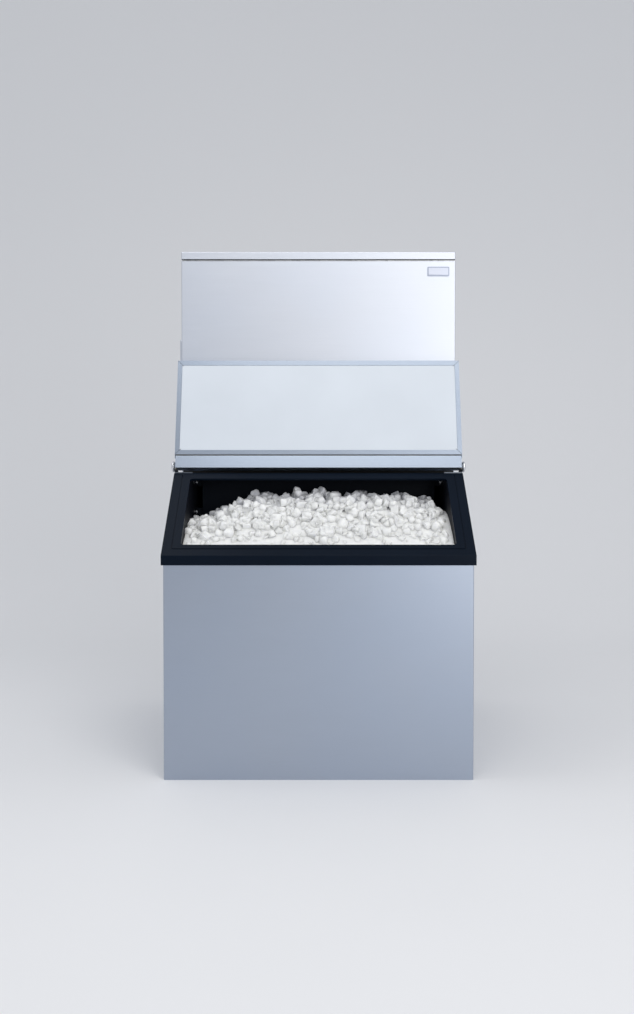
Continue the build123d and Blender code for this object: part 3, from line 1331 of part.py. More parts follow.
# Compressor and refrigerant parts
COMPRESSOR_FROM_BULKHEAD = 128.0
COMPRESSOR_FROM_BACK = 130.0
COMPRESSOR_RADIUS = 82.0
COMPRESSOR_HEIGHT = 215.0
GROMMET_RADIUS = 12.0
GROMMET_HEIGHT = 16.0
GROMMET_SPREAD = 78.0
FOOT_PLATE = 4.0
FOOT_CORNER = 16.0
TERMINAL_SIZE = 60.0
TERMINAL_DEPTH = 26.0
COMPRESSOR_X = BULKHEAD_X - COMPRESSOR_FROM_BULKHEAD
COMPRESSOR_Y = BACK_Y - COMPRESSOR_FROM_BACK


def compressor_grommets():
    """Four rubber mounts under the compressor's foot plate."""
    grommets = []
    for dx in (-GROMMET_SPREAD, GROMMET_SPREAD):
        for dy in (-GROMMET_SPREAD, GROMMET_SPREAD):
            at = (COMPRESSOR_X + dx, COMPRESSOR_Y + dy)
            one = rod("Z", HEAD_FLOOR, GROMMET_HEIGHT, GROMMET_RADIUS, at)
            grommets.append(one.solid())
    return Compound(children=grommets)


def compressor():
    """Sealed can: turned profile on a square foot plate, with a terminal box."""
    z0 = HEAD_FLOOR + GROMMET_HEIGHT
    r, h = COMPRESSOR_RADIUS, COMPRESSOR_HEIGHT
    outline = [
        (0, 0), (r * 0.86, 0), (r, h * 0.12), (r, h * 0.8), (r * 0.93, h * 0.9),
        (r * 0.66, h * 0.97), (0, h),
    ]
    can = revolve(Plane.XZ * Polygon(*outline, align=None), axis=Axis.Z)
    can = Pos(COMPRESSOR_X, COMPRESSOR_Y, z0 + FOOT_PLATE) * can
    x, y, s = COMPRESSOR_X, COMPRESSOR_Y, GROMMET_SPREAD + FOOT_CORNER
    foot = box(x - s, x + s, y - s, y + s, z0, z0 + FOOT_PLATE)
    can += fillet(foot.edges().filter_by(Axis.Z), FOOT_CORNER)
    box_z, half, front = z0 + h * 0.42, TERMINAL_SIZE / 2, y - r - TERMINAL_DEPTH
    return can + box(x - half, x + half, front, y - r * 0.75, box_z, box_z + TERMINAL_SIZE)


LINE_RADIUS = 4.8
LINE_END = 0.2  # short of the face that it is brazed to
DISCHARGE_BEND = 24.0
SUCTION_RADIUS = 6.3
SUCTION_BEND = 12.0
SUCTION_FROM_BULKHEAD = 20.0
DRIER_RADIUS = 15.0
DRIER_LENGTH = 130.0
DRIER_CONE = 12.0
DRIER_NECK = 14.0
DRIER_CLIP = 12.0
DRIER_GAP = 4.0
DRIER_RISE = 330.0
DRIER_BEHIND = 60.0
DRIER_Z = HEAD_FLOOR + DRIER_RISE


def refrigerant_lines():
    """Discharge and suction tubes as separate bent pieces."""
    y, top = COMPRESSOR_Y, HEAD_FLOOR + GROMMET_HEIGHT + FOOT_PLATE + COMPRESSOR_HEIGHT * 0.7
    can = COMPRESSOR_RADIUS + LINE_END
    coil_mid = COIL_X0 + COIL_THICK / 2
    discharge = pipe(
        [
            (COMPRESSOR_X - can, y, top),
            (coil_mid, y, top),
            (coil_mid, CONDENSER_Y1 + LINE_END, top),
        ],
        LINE_RADIUS,
        DISCHARGE_BEND,
    )
    x_up, z_up = BULKHEAD_X - SUCTION_FROM_BULKHEAD, DRIER_Z + DRIER_LENGTH / 2
    suction = pipe(
        [
            (COMPRESSOR_X + can, y, top),
            (x_up, y, top),
            (x_up, y, z_up),
            (BULKHEAD_X - LINE_END, y, z_up),
        ],
        SUCTION_RADIUS,
        SUCTION_BEND,
    )
    return Compound(children=[discharge.solid(), suction.solid()])


def filter_drier():
    """Upright spun-copper drier clipped to the bulkhead."""
    x, y = BULKHEAD_X - DRIER_RADIUS - DRIER_GAP, CONDENSER_Y1 + DRIER_BEHIND
    r, tip, top = DRIER_RADIUS, DRIER_RADIUS * 0.4, DRIER_LENGTH
    low, high = DRIER_NECK + DRIER_CONE, DRIER_LENGTH - DRIER_NECK - DRIER_CONE
    outline = [
        (0, 0), (tip, 0), (tip, DRIER_NECK), (r, low), (r, high), (tip, top - DRIER_NECK),
        (tip, top), (0, top),
    ]
    body = revolve(Plane.XZ * Polygon(*outline, align=None), axis=Axis.Z)
    half, middle = DRIER_CLIP / 2, DRIER_Z + top / 2
    clip = box(x, BULKHEAD_X, y - half, y + half, middle - half, middle + half)
    return Pos(x, y, DRIER_Z) * body + clip


# Control box with its toggle switch
CONTROL_WIDTH = 150.0
CONTROL_SET_BACK = 40.0
CONTROL_UNDER = 10.0  # below the front rail
CONTROL_DEPTH = 90.0
CONTROL_HEIGHT = 150.0
CONTROL_SHEET = 1.5
TOGGLE_FROM_BULKHEAD = 50.0
TOGGLE_BUSH = 6.0
TOGGLE_BUSH_LENGTH = 10.0
TOGGLE_PIN = 1.5
TOGGLE_SLOT = 2.6
TOGGLE_ROD = 2.0
TOGGLE_TIP = 3.0
TOGGLE_TIP_LENGTH = 9.0
TOGGLE_LENGTH = 22.0
TOGGLE_EYE = 3.6
TOGGLE_REST = 12.0
SWITCH_HALF = (8.0, 14.0)
SWITCH_DEPTH = 24.0
CONTROL_Y0 = HEAD_FRONT_Y + CONTROL_SET_BACK
TOGGLE_X = BULKHEAD_X - TOGGLE_FROM_BULKHEAD
TOGGLE_Y = CONTROL_Y0 - TOGGLE_BUSH_LENGTH / 2
CONTROL_Z0 = CAP_BOTTOM - RAIL_HEIGHT - CONTROL_UNDER - CONTROL_HEIGHT
TOGGLE_Z = CONTROL_Z0 + CONTROL_HEIGHT / 2


def control_box():
    """Closed electrical box on the bulkhead, with a hole in its front for the switch."""
    x1, y0, z0, t = BULKHEAD_X, CONTROL_Y0, CONTROL_Z0, CONTROL_SHEET
    x0, y1, z1 = x1 - CONTROL_WIDTH, y0 + CONTROL_DEPTH, z0 + CONTROL_HEIGHT
    shell = box(x0, x1, y0, y1, z0, z1) - box(x0 + t, x1 - t, y0 + t, y1 - t, z0 + t, z1 - t)
    return shell - rod("Y", y0 - 1, t + 2, TOGGLE_BUSH + FIT, (TOGGLE_X, TOGGLE_Z))


def toggle_switch():
    """Switch body behind the plate, with a slotted bush that carries the lever's cross pin."""
    x, y, z = TOGGLE_X, CONTROL_Y0, TOGGLE_Z
    wide, tall = SWITCH_HALF
    bush = rod("Y", y - TOGGLE_BUSH_LENGTH, TOGGLE_BUSH_LENGTH + CONTROL_SHEET, TOGGLE_BUSH, (x, z))
    body = box(x - wide, x + wide, y + CONTROL_SHEET, y + SWITCH_DEPTH, z - tall, z + tall)
    half, reach = TOGGLE_SLOT, TOGGLE_BUSH + 1
    slot = box(x - half, x + half, y - TOGGLE_BUSH_LENGTH - 1, y + 2, z - reach, z + reach)
    return bush + body - slot + rod("X", x - half - 0.4, 2 * half + 0.8, TOGGLE_PIN, (TOGGLE_Y, z))


def toggle_lever():
    """Bat-shaped lever that rocks on the cross pin."""
    wide = TOGGLE_SLOT - 0.4
    lever = rod("X", -wide, 2 * wide, TOGGLE_EYE, (0, 0))
    lever += rod("Y", -TOGGLE_LENGTH, TOGGLE_LENGTH, TOGGLE_ROD, (0, 0))
    lever += rod("Y", -TOGGLE_LENGTH, TOGGLE_TIP_LENGTH, TOGGLE_TIP, (0, 0))
    lever -= rod("X", -2 * wide, 4 * wide, TOGGLE_PIN + RUNNING, (0, 0))
    return Pos(TOGGLE_X, TOGGLE_Y, TOGGLE_Z) * (Rot(TOGGLE_REST, 0, 0) * lever)


VALVE_COLLAR = 16.0
VALVE_LENGTH = 34.0
VALVE_WIDTH = 40.0
VALVE_HEIGHT = 36.0
SOLENOID_RADIUS = 17.0
SOLENOID_HEIGHT = 34.0
VALVE_Y = BACK_Y - SKIN - VALVE_COLLAR - VALVE_LENGTH / 2


def inlet_valve():
    """Solenoid water valve: threaded inlet through the back panel, body and coil."""
    x, z, wall = INLET_X, INLET_Z, BACK_Y - SKIN
    valve = rod("Y", BACK_Y, FITTING_REACH, INLET_RADIUS, (x, z))
    valve += rod("Y", wall - VALVE_COLLAR, VALVE_COLLAR + SKIN, INLET_NECK, (x, z))
    valve += rod("Y", wall - VALVE_COLLAR, VALVE_COLLAR, INLET_NECK * 1.5, (x, z))
    front = wall - VALVE_COLLAR - VALVE_LENGTH
    valve += box(
        x - VALVE_WIDTH / 2, x + VALVE_WIDTH / 2, front, wall - VALVE_COLLAR,
        z - VALVE_HEIGHT / 2, z + VALVE_HEIGHT / 2,
    )
    valve += rod("Z", z + VALVE_HEIGHT / 2, SOLENOID_HEIGHT, SOLENOID_RADIUS, (x, VALVE_Y))
    return valve - rod("Y", BACK_Y - VALVE_COLLAR / 2, BACK_Y, INLET_BORE, (x, z))


FEED_ASIDE = 60.0
FEED_BEHIND = 44.0
FEED_OVER = 38.0
FEED_RADIUS = 4.0
FEED_BEND = 16.0


def water_line():
    """Feed tube from the inlet valve down to the bay's back wall behind the float valve."""
    x_drop = INLET_X - FEED_ASIDE
    y_run = BAY_BACK + FEED_BEHIND
    z = SUMP_TOP + FEED_OVER
    return pipe(
        [
            (INLET_X - VALVE_WIDTH / 2 - LINE_END, VALVE_Y, INLET_Z),
            (x_drop, VALVE_Y, INLET_Z),
            (x_drop, VALVE_Y, z),
            (x_drop, y_run, z),
            (FLOAT_X, y_run, z),
            (FLOAT_X, BAY_BACK + BAY_WALL + LINE_END, z),
        ],
        FEED_RADIUS,
        FEED_BEND,
    )


def cord_entry():
    """Plain cord entry bush in the back panel."""
    at, wall = (CORD_X, CORD_Z), BACK_Y - SKIN
    bush = rod("Y", wall, SKIN + CORD_ENTRY_PROUD, CORD_ENTRY_RADIUS, at)
    bush += rod("Y", wall - CORD_FLANGE, CORD_FLANGE, CORD_ENTRY_RADIUS + CORD_FLANGE, at)
    return bush - rod("Y", wall - 2 * CORD_FLANGE, BACK_Y, CORD_ENTRY_BORE, at)


save("bin_front_panel", bin_front_panel())
save("bin_left_panel", bin_side_panel(-1))
save("bin_right_panel", bin_side_panel(1))
save("bin_back_panel", bin_back_panel())
save("base_pan", base_pan())
save("leg_sockets", leg_sockets())
save("bin_insulation", insulation())
save("bin_liner", bin_liner())
save("top_deck", top_deck())
save("door_frame", door_frame())
save("ice_deflector", ice_deflector())
save("deflector_screws", deflector_screws())
save("drain_fitting", drain_fitting())
save("drain_strainer", drain_strainer())
save("hinge_plates", hinge_plates())
save("hinge_pins", hinge_pins())
save("door_pan", door_pan())
save("door_rim", door_rim())
save("door_liner_panel", door_liner_panel())
save("door_foam", door_foam())
save("door_grip", door_grip())
save("door_bushes", door_bushes())
save("ice_heap", ice_heap())
save("head_gasket", head_gasket())
save("head_base", head_base())
save("head_left_panel", head_side_panel(-1))
save("head_right_panel", head_side_panel(1))
save("side_grille", side_grille())
save("head_back_panel", head_back_panel())
save("top_cap", top_cap())
save("front_rail", front_rail())
save("head_front_panel", head_front_panel())
save("badge_plate", badge_plate())
save("evaporator_bay", evaporator_bay())
save("evaporator_plate", evaporator_plate())
save("evaporator_coil", evaporator_coil())
save("water_sump", water_sump())
save("water_distributor", water_distributor())
save("water_curtain", water_curtain())
save("curtain_pins", curtain_pins())
save("pump_housing", pump_housing())
save("pump_impeller", pump_impeller())
save("float_valve", float_valve())
save("float_arm", float_arm())
save("thickness_probe", thickness_probe())
save("bulkhead", bulkhead())
save("condenser_coil", condenser_coil())
save("fan_shroud", fan_shroud())
save("fan_motor", fan_motor())
save("fan_blades", fan_blades())
save("compressor_grommets", compressor_grommets())
save("compressor", compressor())
save("refrigerant_lines", refrigerant_lines())
save("filter_drier", filter_drier())
save("control_box", control_box())
save("toggle_switch", toggle_switch())
save("toggle_lever", toggle_lever())
save("inlet_valve", inlet_valve())
save("water_hoses", Compound(children=[pump_hose().solid(), water_line().solid()]))
save("cord_entry", cord_entry())
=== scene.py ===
# %% [markdown]
# # A cube ice machine on its storage bin
#
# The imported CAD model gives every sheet, hinge and hose its shape and place. This lesson dresses
# it: a finish for each material, the loose ice that lies on the frozen heap, the small fasteners
# and seams that the solids leave out, and a studio with a camera where the photographer stood.

# %% Load the frame
import math
import random

import bmesh
import bpy
from mathutils import Matrix, Vector


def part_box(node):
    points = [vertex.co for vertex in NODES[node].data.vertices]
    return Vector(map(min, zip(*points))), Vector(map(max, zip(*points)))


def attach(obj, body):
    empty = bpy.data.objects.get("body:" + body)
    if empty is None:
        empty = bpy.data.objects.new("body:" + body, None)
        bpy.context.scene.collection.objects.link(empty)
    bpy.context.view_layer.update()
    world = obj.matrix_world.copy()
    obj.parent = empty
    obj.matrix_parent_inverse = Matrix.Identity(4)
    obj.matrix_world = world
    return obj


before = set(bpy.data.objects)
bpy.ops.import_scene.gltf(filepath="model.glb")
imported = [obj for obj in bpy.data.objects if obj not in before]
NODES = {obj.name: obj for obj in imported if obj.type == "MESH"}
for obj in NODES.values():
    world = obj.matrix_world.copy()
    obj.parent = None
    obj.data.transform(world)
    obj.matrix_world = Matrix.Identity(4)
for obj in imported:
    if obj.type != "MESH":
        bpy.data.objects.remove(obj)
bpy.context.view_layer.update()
MM = 0.001

# %% [markdown]
# Every finish below is a small network of nodes. Writing each link by hand hides what the network
# does, so one helper adds a node and sets its sockets, and each finish then reads as a recipe. All
# patterns use Object coordinates. Every object sits at the origin, so those are metres in the
# machine's own frame, and a grain keeps its real size on every sheet.

# %% A helper for materials

# A noise seldom leaves this band, so the band is what gets stretched to a wanted range.
NOISE_LOW = 0.3
NOISE_HIGH = 0.7
# A Mix node has sockets for every kind of data. These are its two colours and its mixed colour.
MIX_COLOUR_A = 6
MIX_COLOUR_B = 7
MIX_RESULT = 2


class Recipe:
    """A new material with its Principled shader, and short ways to add nodes to it."""

    def __init__(self, name, colour, roughness, metallic=0.0):
        self.material = bpy.data.materials.new(name)
        self.material.use_nodes = True
        self.tree = self.material.node_tree
        self.shader = self.tree.nodes["Principled BSDF"]
        self.shader.inputs["Base Color"].default_value = (*colour, 1.0)
        self.shader.inputs["Roughness"].default_value = roughness
        self.shader.inputs["Metallic"].default_value = metallic
        self.place = self.tree.nodes.new("ShaderNodeTexCoord").outputs["Object"]

    def node(self, kind, inputs=(), **settings):
        """A new node: an input that is given a socket is linked, and any other value is set."""
        made = self.tree.nodes.new(kind)
        for key, value in settings.items():
            setattr(made, key, value)
        for key, value in dict(inputs).items():
            if isinstance(value, bpy.types.NodeSocket):
                self.tree.links.new(value, made.inputs[key])
            else:
                made.inputs[key].default_value = value
        return made

    def stretched(self, scale):
        """Object coordinates stretched by three factors, for grain and brushing."""
        made = self.node("ShaderNodeMapping", {"Vector": self.place, "Scale": scale})
        return made.outputs["Vector"]

    def noise(self, scale, detail=3.0, vector=None):
        source = self.place if vector is None else vector
        made = self.node("ShaderNodeTexNoise", {"Vector": source, "Scale": scale, "Detail": detail})
        return made.outputs["Fac"]

    def between(self, factor, low, high):
        """The noise's usual band turned into low to high."""
        limits = {"From Min": NOISE_LOW, "From Max": NOISE_HIGH, "To Min": low, "To Max": high}
        made = self.node("ShaderNodeMapRange", {"Value": factor, **limits})
        return made.outputs["Result"]

    def blend(self, factor, colour_a, colour_b):
        """From colour a to colour b. Each can be three numbers or another node's colour."""
        made = self.node("ShaderNodeMix", data_type="RGBA")
        self.tree.links.new(factor, made.inputs["Factor"])
        for index, colour in ((MIX_COLOUR_A, colour_a), (MIX_COLOUR_B, colour_b)):
            if isinstance(colour, bpy.types.NodeSocket):
                self.tree.links.new(colour, made.inputs[index])
            else:
                made.inputs[index].default_value = (*colour, 1.0)
        return made.outputs[MIX_RESULT]

    def colour(self, socket):
        self.tree.links.new(socket, self.shader.inputs["Base Color"])

    def roughness(self, socket):
        self.tree.links.new(socket, self.shader.inputs["Roughness"])

    def bump(self, height, strength, distance):
        levels = {"Height": height, "Strength": strength, "Distance": distance}
        made = self.node("ShaderNodeBump", levels)
        self.tree.links.new(made.outputs["Normal"], self.shader.inputs["Normal"])

    def set(self, **values):
        """Plain values on the shader, with an underscore for each space in a socket's name."""
        for key, value in values.items():
            self.shader.inputs[key.replace("_", " ")].default_value = value


print("materials are made with", Recipe.__name__)

# %% [markdown]
# Stainless sheet with a satin finish carries thousands of fine scratches, all one way, and under
# a soft light they blur into broad cool gradients. A noise that is stretched two hundred times
# along the sheet gives those lines. They change the roughness and tip the surface a little. A
# much larger and fainter noise keeps a wide panel from looking like one flat colour. The base
# tones differ from piece to piece as painted reflection: the head's sheet is painted lighter, and
# the bin's sheet, the door rim and the hinge plates darker, for the part of the studio each mirrors.

# %% Stainless steel

DARK_LINE = 0.94
BROAD_TINT = (0.93, 0.96, 1.0)
# How fine the noise is along X, Y and Z. The scratches run along the axes with low numbers.
UPRIGHT_PANEL = (1.2, 1.2, 260.0)
DOOR_SHEET = (1.2, 260.0, 260.0)
TURNED_BAR = (200.0, 3.0, 3.0)
SMALL_PLATE = (1.0, 1.0, 400.0)


def satin_steel(name, colour, roughness, grain=UPRIGHT_PANEL):
    steel = Recipe(name, colour, roughness, metallic=1.0)
    lines = steel.noise(scale=9.0, detail=2.0, vector=steel.stretched(grain))
    broad = steel.noise(scale=2.6, detail=2.0)
    darker = tuple(c * DARK_LINE for c in colour)
    tone = steel.blend(steel.between(lines, 0.0, 1.0), darker, colour)
    tint = tuple(c * s for c, s in zip(colour, BROAD_TINT))
    steel.colour(steel.blend(steel.between(broad, 0.0, 0.6), tone, tint))
    steel.roughness(steel.between(lines, roughness - 0.05, roughness + 0.05))
    steel.bump(lines, strength=0.08, distance=0.4 * MM)
    return steel.material


# Painted reflection: one stainless steel, given a darker base tone for the bin's sheet and the door
# rim and a lighter one for the head's.
BIN_STEEL_PAINTED_SHADE = satin_steel("bin_steel_painted_shade", (0.40, 0.445, 0.525), 0.40)
HEAD_STEEL_PAINTED_SHEEN = satin_steel("head_steel_painted_sheen", (0.645, 0.665, 0.715), 0.44)
DOOR_STEEL_PAINTED_SHADE = satin_steel("door_rim_steel_painted_shade", (0.34, 0.385, 0.455), 0.34, DOOR_SHEET)
PIN_STEEL = satin_steel("turned_steel", (0.74, 0.75, 0.77), 0.24, TURNED_BAR)
# Painted shade: the hinge plates get a near-black steel tone where they lie in shadow under the
# door.
PLATE_STEEL_PAINTED_SHADE = satin_steel("hinge_plate_painted_shade", (0.15, 0.165, 0.19), 0.42, TURNED_BAR)
BADGE_METAL = satin_steel("bare_badge", (0.34, 0.37, 0.45), 0.35, SMALL_PLATE)
INLAY_METAL = satin_steel("badge_inlay", (0.54, 0.56, 0.63), 0.42, SMALL_PLATE)
STEELS = (BIN_STEEL_PAINTED_SHADE, HEAD_STEEL_PAINTED_SHEEN, DOOR_STEEL_PAINTED_SHADE, PIN_STEEL, PLATE_STEEL_PAINTED_SHADE, BADGE_METAL, INLAY_METAL)
print("steels:", [steel.name for steel in STEELS])

# %% [markdown]
# Zinc-coated sheet, which the base, the rails and the inner brackets are made of, shows the crystals
# of its coating. A Voronoi pattern with a random grey for each cell is just that.

# %% Galvanised sheet


def zinc_sheet(name):
    zinc = Recipe(name, (0.60, 0.61, 0.62), 0.45, metallic=1.0)
    cells = zinc.node("ShaderNodeTexVoronoi", {"Vector": zinc.place, "Scale": 70.0})
    grey = zinc.node("ShaderNodeSeparateColor", {"Color": cells.outputs["Color"]})
    zinc.colour(zinc.blend(grey.outputs["Red"], (0.50, 0.51, 0.53), (0.68, 0.69, 0.70)))
    zinc.roughness(zinc.between(grey.outputs["Green"], 0.38, 0.52))
    return zinc.material


ZINC = zinc_sheet("zinc_sheet")
print("galvanised:", ZINC.name)

# %% [markdown]
# Moulded plastics differ in colour, gloss and texture. The dark door frame has a fine spark-eroded
# grain with a low sheen, the door's inner panel and the parts that touch water are smooth and pale,
# and poured foam is rough. One function covers them, with a grain size for each.

# %% Plastics, foam and rubber


def moulded(name, colour, roughness, grain=900.0, depth=0.05, variation=0.06, gloss=0.5, clear=0.0):
    plastic = Recipe(name, colour, roughness)
    fine = plastic.noise(scale=grain, detail=2.0)
    broad = plastic.noise(scale=5.0, detail=3.0)
    darker = tuple(c * (1.0 - variation) for c in colour)
    plastic.colour(plastic.blend(plastic.between(broad, 0.0, 1.0), darker, colour))
    plastic.roughness(plastic.between(fine, roughness - 0.04, roughness + 0.06))
    plastic.set(Specular_IOR_Level=gloss, Transmission_Weight=clear)
    plastic.bump(fine, strength=depth, distance=0.3 * MM)
    return plastic.material


FRAME_BLUE = moulded("door_frame_plastic", (0.002, 0.006, 0.014), 0.32, variation=0.15, gloss=0.08)
LINER_DARK = moulded("liner_plastic", (0.006, 0.007, 0.011), 0.5, gloss=0.1)
DEFLECTOR_DARK = moulded("deflector_plastic", (0.004, 0.006, 0.010), 0.45, gloss=0.05)
DOOR_WHITE = moulded("door_inner_plastic", (0.63, 0.675, 0.73), 0.42, grain=500.0, depth=0.02)
WATER_WHITE = moulded("water_part_plastic", (0.80, 0.83, 0.86), 0.35)
BLACK_PLASTIC = moulded("black_plastic", (0.02, 0.02, 0.022), 0.45)
NYLON = moulded("bush_nylon", (0.72, 0.70, 0.62), 0.4)
FOAM = moulded("poured_foam", (0.72, 0.62, 0.40), 0.9, grain=380.0, depth=0.5, variation=0.2)
RUBBER = moulded("black_rubber", (0.018, 0.018, 0.019), 0.7, depth=0.15)
HOSE = moulded("clear_hose", (0.62, 0.66, 0.66), 0.3, clear=0.4)
ENAMEL = moulded("black_enamel", (0.015, 0.015, 0.016), 0.22, grain=60.0, depth=0.04)
print("plastics:", FRAME_BLUE.name, LINER_DARK.name, DOOR_WHITE.name, "and", HOSE.name)

# %% [markdown]
# The refrigeration circuit is soldered copper, browned in patches by the torch. The ice grid is
# copper too, but tinned bright, and the condenser's fins are bare aluminium.

# %% Copper, tin and aluminium

NEW_COPPER = (0.72, 0.36, 0.22)
BROWNED_COPPER = (0.42, 0.19, 0.12)
DARK_PATCH = 0.82


def torch_copper(name):
    copper = Recipe(name, NEW_COPPER, 0.3, metallic=1.0)
    heat = copper.noise(scale=28.0, detail=4.0)
    copper.colour(copper.blend(copper.between(heat, 0.0, 1.0), NEW_COPPER, BROWNED_COPPER))
    copper.roughness(copper.between(heat, 0.22, 0.45))
    return copper.material


def mottled_metal(name, colour, roughness, scale):
    metal = Recipe(name, colour, roughness, metallic=1.0)
    patches = metal.noise(scale=scale, detail=3.0)
    darker = tuple(c * DARK_PATCH for c in colour)
    metal.colour(metal.blend(metal.between(patches, 0.0, 1.0), darker, colour))
    metal.roughness(metal.between(patches, roughness - 0.06, roughness + 0.1))
    return metal.material


COPPER = torch_copper("soldered_copper")
TINNED = mottled_metal("tinned_copper", (0.75, 0.74, 0.72), 0.2, scale=60.0)
FIN_ALUMINIUM = mottled_metal("fin_aluminium", (0.66, 0.67, 0.69), 0.35, scale=120.0)
print("metals:", COPPER.name, TINNED.name, FIN_ALUMINIUM.name)

# %% [markdown]
# Each CAD node now gets its finish. The list goes by finish, so a wrong choice is easy to see, and
# a check at the end prints any node that still has the plain grey it was loaded with. Only the
# heap of ice is left, because its finish comes with the cubes.

# %% Finish every node

FINISHES = [
    (BIN_STEEL_PAINTED_SHADE, ["bin_front_panel", "bin_left_panel", "bin_right_panel", "bin_back_panel",
                 "top_deck"]),
    (HEAD_STEEL_PAINTED_SHEEN, ["head_front_panel", "head_left_panel", "head_right_panel", "head_back_panel",
                  "top_cap", "side_grille"]),
    (DOOR_STEEL_PAINTED_SHADE, ["door_pan", "door_rim"]),
    (PLATE_STEEL_PAINTED_SHADE, ["hinge_plates"]),
    (PIN_STEEL, ["hinge_pins", "deflector_screws", "curtain_pins", "toggle_lever"]),
    (ZINC, ["base_pan", "leg_sockets", "head_base", "front_rail", "bulkhead", "fan_shroud",
            "control_box"]),
    (FRAME_BLUE, ["door_frame"]),
    (LINER_DARK, ["bin_liner"]),
    (DEFLECTOR_DARK, ["ice_deflector"]),
    (DOOR_WHITE, ["door_liner_panel"]),
    (WATER_WHITE, ["evaporator_bay", "water_curtain", "water_sump", "water_distributor",
                   "float_arm", "float_valve", "inlet_valve", "thickness_probe"]),
    (FOAM, ["bin_insulation", "door_foam"]),
    (BLACK_PLASTIC, ["door_grip", "fan_blades", "pump_housing", "pump_impeller", "cord_entry",
                     "drain_strainer", "drain_fitting", "toggle_switch"]),
    (NYLON, ["door_bushes"]),
    (RUBBER, ["head_gasket", "compressor_grommets"]),
    (HOSE, ["water_hoses"]),
    (TINNED, ["evaporator_plate"]),
    (COPPER, ["evaporator_coil", "refrigerant_lines", "filter_drier"]),
    (FIN_ALUMINIUM, ["condenser_coil"]),
    (ENAMEL, ["compressor", "fan_motor"]),
    (BADGE_METAL, ["badge_plate"]),
]


def finish(piece, material):
    piece.data.materials.clear()
    piece.data.materials.append(material)


finished = set()
for material, names in FINISHES:
    for name in names:
        finish(NODES[name], material)
        finished.add(name)
print("nodes still without a finish:", sorted(set(NODES) - finished))

# %% [markdown]
# New pieces are modelled as by hand: a primitive, some steps in edit mode, then modifiers. An
# operator acts on all that is selected, so a few helpers keep the selection right. They clear it,
# pick faces by the way they look, apply what is pending, and copy or join finished pieces.

# %% Short ways to work by hand

UP = Vector((0.0, 0.0, 1.0))
DOWN = Vector((0.0, 0.0, -1.0))
FRONT = Vector((0.0, -1.0, 0.0))
SAME_WAY = 0.9


def clear_selection():
    """Nothing selected, and no edit mode left on."""
    if bpy.context.mode != "OBJECT":
        bpy.ops.object.mode_set(mode="OBJECT")
    bpy.ops.object.select_all(action="DESELECT")


def active(name):
    """The active object, given its name."""
    piece = bpy.context.object
    piece.name = name
    piece.data.name = name
    return piece


def pick(piece, direction):
    """In edit mode, selects only the faces that look in a direction."""
    bpy.ops.mesh.select_all(action="DESELECT")
    bpy.ops.mesh.select_mode(type="FACE")
    mesh = bmesh.from_edit_mesh(piece.data)
    for face in mesh.faces:
        face.select_set(face.normal.dot(direction) > SAME_WAY)
    mesh.select_flush(True)
    bmesh.update_edit_mesh(piece.data)


def apply_all(piece):
    """Applies the piece's place and every modifier on it."""
    clear_selection()
    piece.select_set(True)
    bpy.context.view_layer.objects.active = piece
    for modifier in list(piece.modifiers):
        bpy.ops.object.modifier_apply(modifier=modifier.name)
    bpy.ops.object.transform_apply(location=True, rotation=True, scale=True)


def copy_at(master, place, turn, size=1.0):
    """A copy with its own mesh, moved, turned and sized."""
    made = master.copy()
    made.data = master.data.copy()
    bpy.context.collection.objects.link(made)
    made.location = place
    made.rotation_euler = turn
    made.scale = (size, size, size)
    return made


def joined(pieces, name):
    """Several pieces as one object at the origin."""
    clear_selection()
    for piece in pieces:
        piece.select_set(True)
    bpy.context.view_layer.objects.active = pieces[0]
    bpy.ops.object.join()
    whole = active(name)
    bpy.ops.object.transform_apply(location=True, rotation=True, scale=True)
    return whole


print("faces can be picked that look", tuple(UP), tuple(DOWN), "or", tuple(FRONT))

# %% [markdown]
# Ice from this kind of machine falls as small square cubes with a dimple on one side, which the
# grid's cells give them. In the bin they lie at all angles, cloudy inside and wet outside. Cubes
# of three lengths are drawn by hand, melted at their corners with a bevel, and then copied over
# the heap's surface. Rays dropped on the CAD heap find that surface. The ice turns greyer towards
# the back, where little light gets in under the deck.

# %% The ice material

CLEAR_ICE = (0.78, 0.785, 0.785)
CLOUDY_ICE = (0.85, 0.85, 0.84)
SHADED_ICE = (0.42, 0.43, 0.475)
SHADE_STARTS_Y = -0.30
SHADE_ENDS_Y = -0.18


def frosted_ice(name):
    ice = Recipe(name, CLOUDY_ICE, 0.28)
    cloud = ice.noise(scale=85.0, detail=4.0)
    front = ice.blend(ice.between(cloud, 0.0, 1.0), CLEAR_ICE, CLOUDY_ICE)
    depth = ice.node("ShaderNodeSeparateXYZ", {"Vector": ice.place}).outputs["Y"]
    limits = {"From Min": SHADE_STARTS_Y, "From Max": SHADE_ENDS_Y}
    rear = ice.node("ShaderNodeMapRange", {"Value": depth, **limits})
    ice.colour(ice.blend(rear.outputs["Result"], front, SHADED_ICE))
    ice.roughness(ice.between(cloud, 0.16, 0.42))
    ice.bump(ice.noise(scale=160.0, detail=3.0), strength=0.2, distance=1.0 * MM)
    ice.set(IOR=1.31, Subsurface_Weight=0.6, Subsurface_Scale=0.02)
    ice.set(Subsurface_Radius=(1.0, 1.0, 1.1))
    return ice.material


ICE = frosted_ice("frosted_ice")
print("ice:", ICE.name)

# %% One cube of ice in three lengths

CUBE_SIDE = 24.0 * MM
CUBE_HEIGHT = 0.85
DIMPLE_EDGE = 0.24 * CUBE_SIDE
NARROW_BASE = 0.82
MELTED_CORNER = 0.2 * CUBE_SIDE


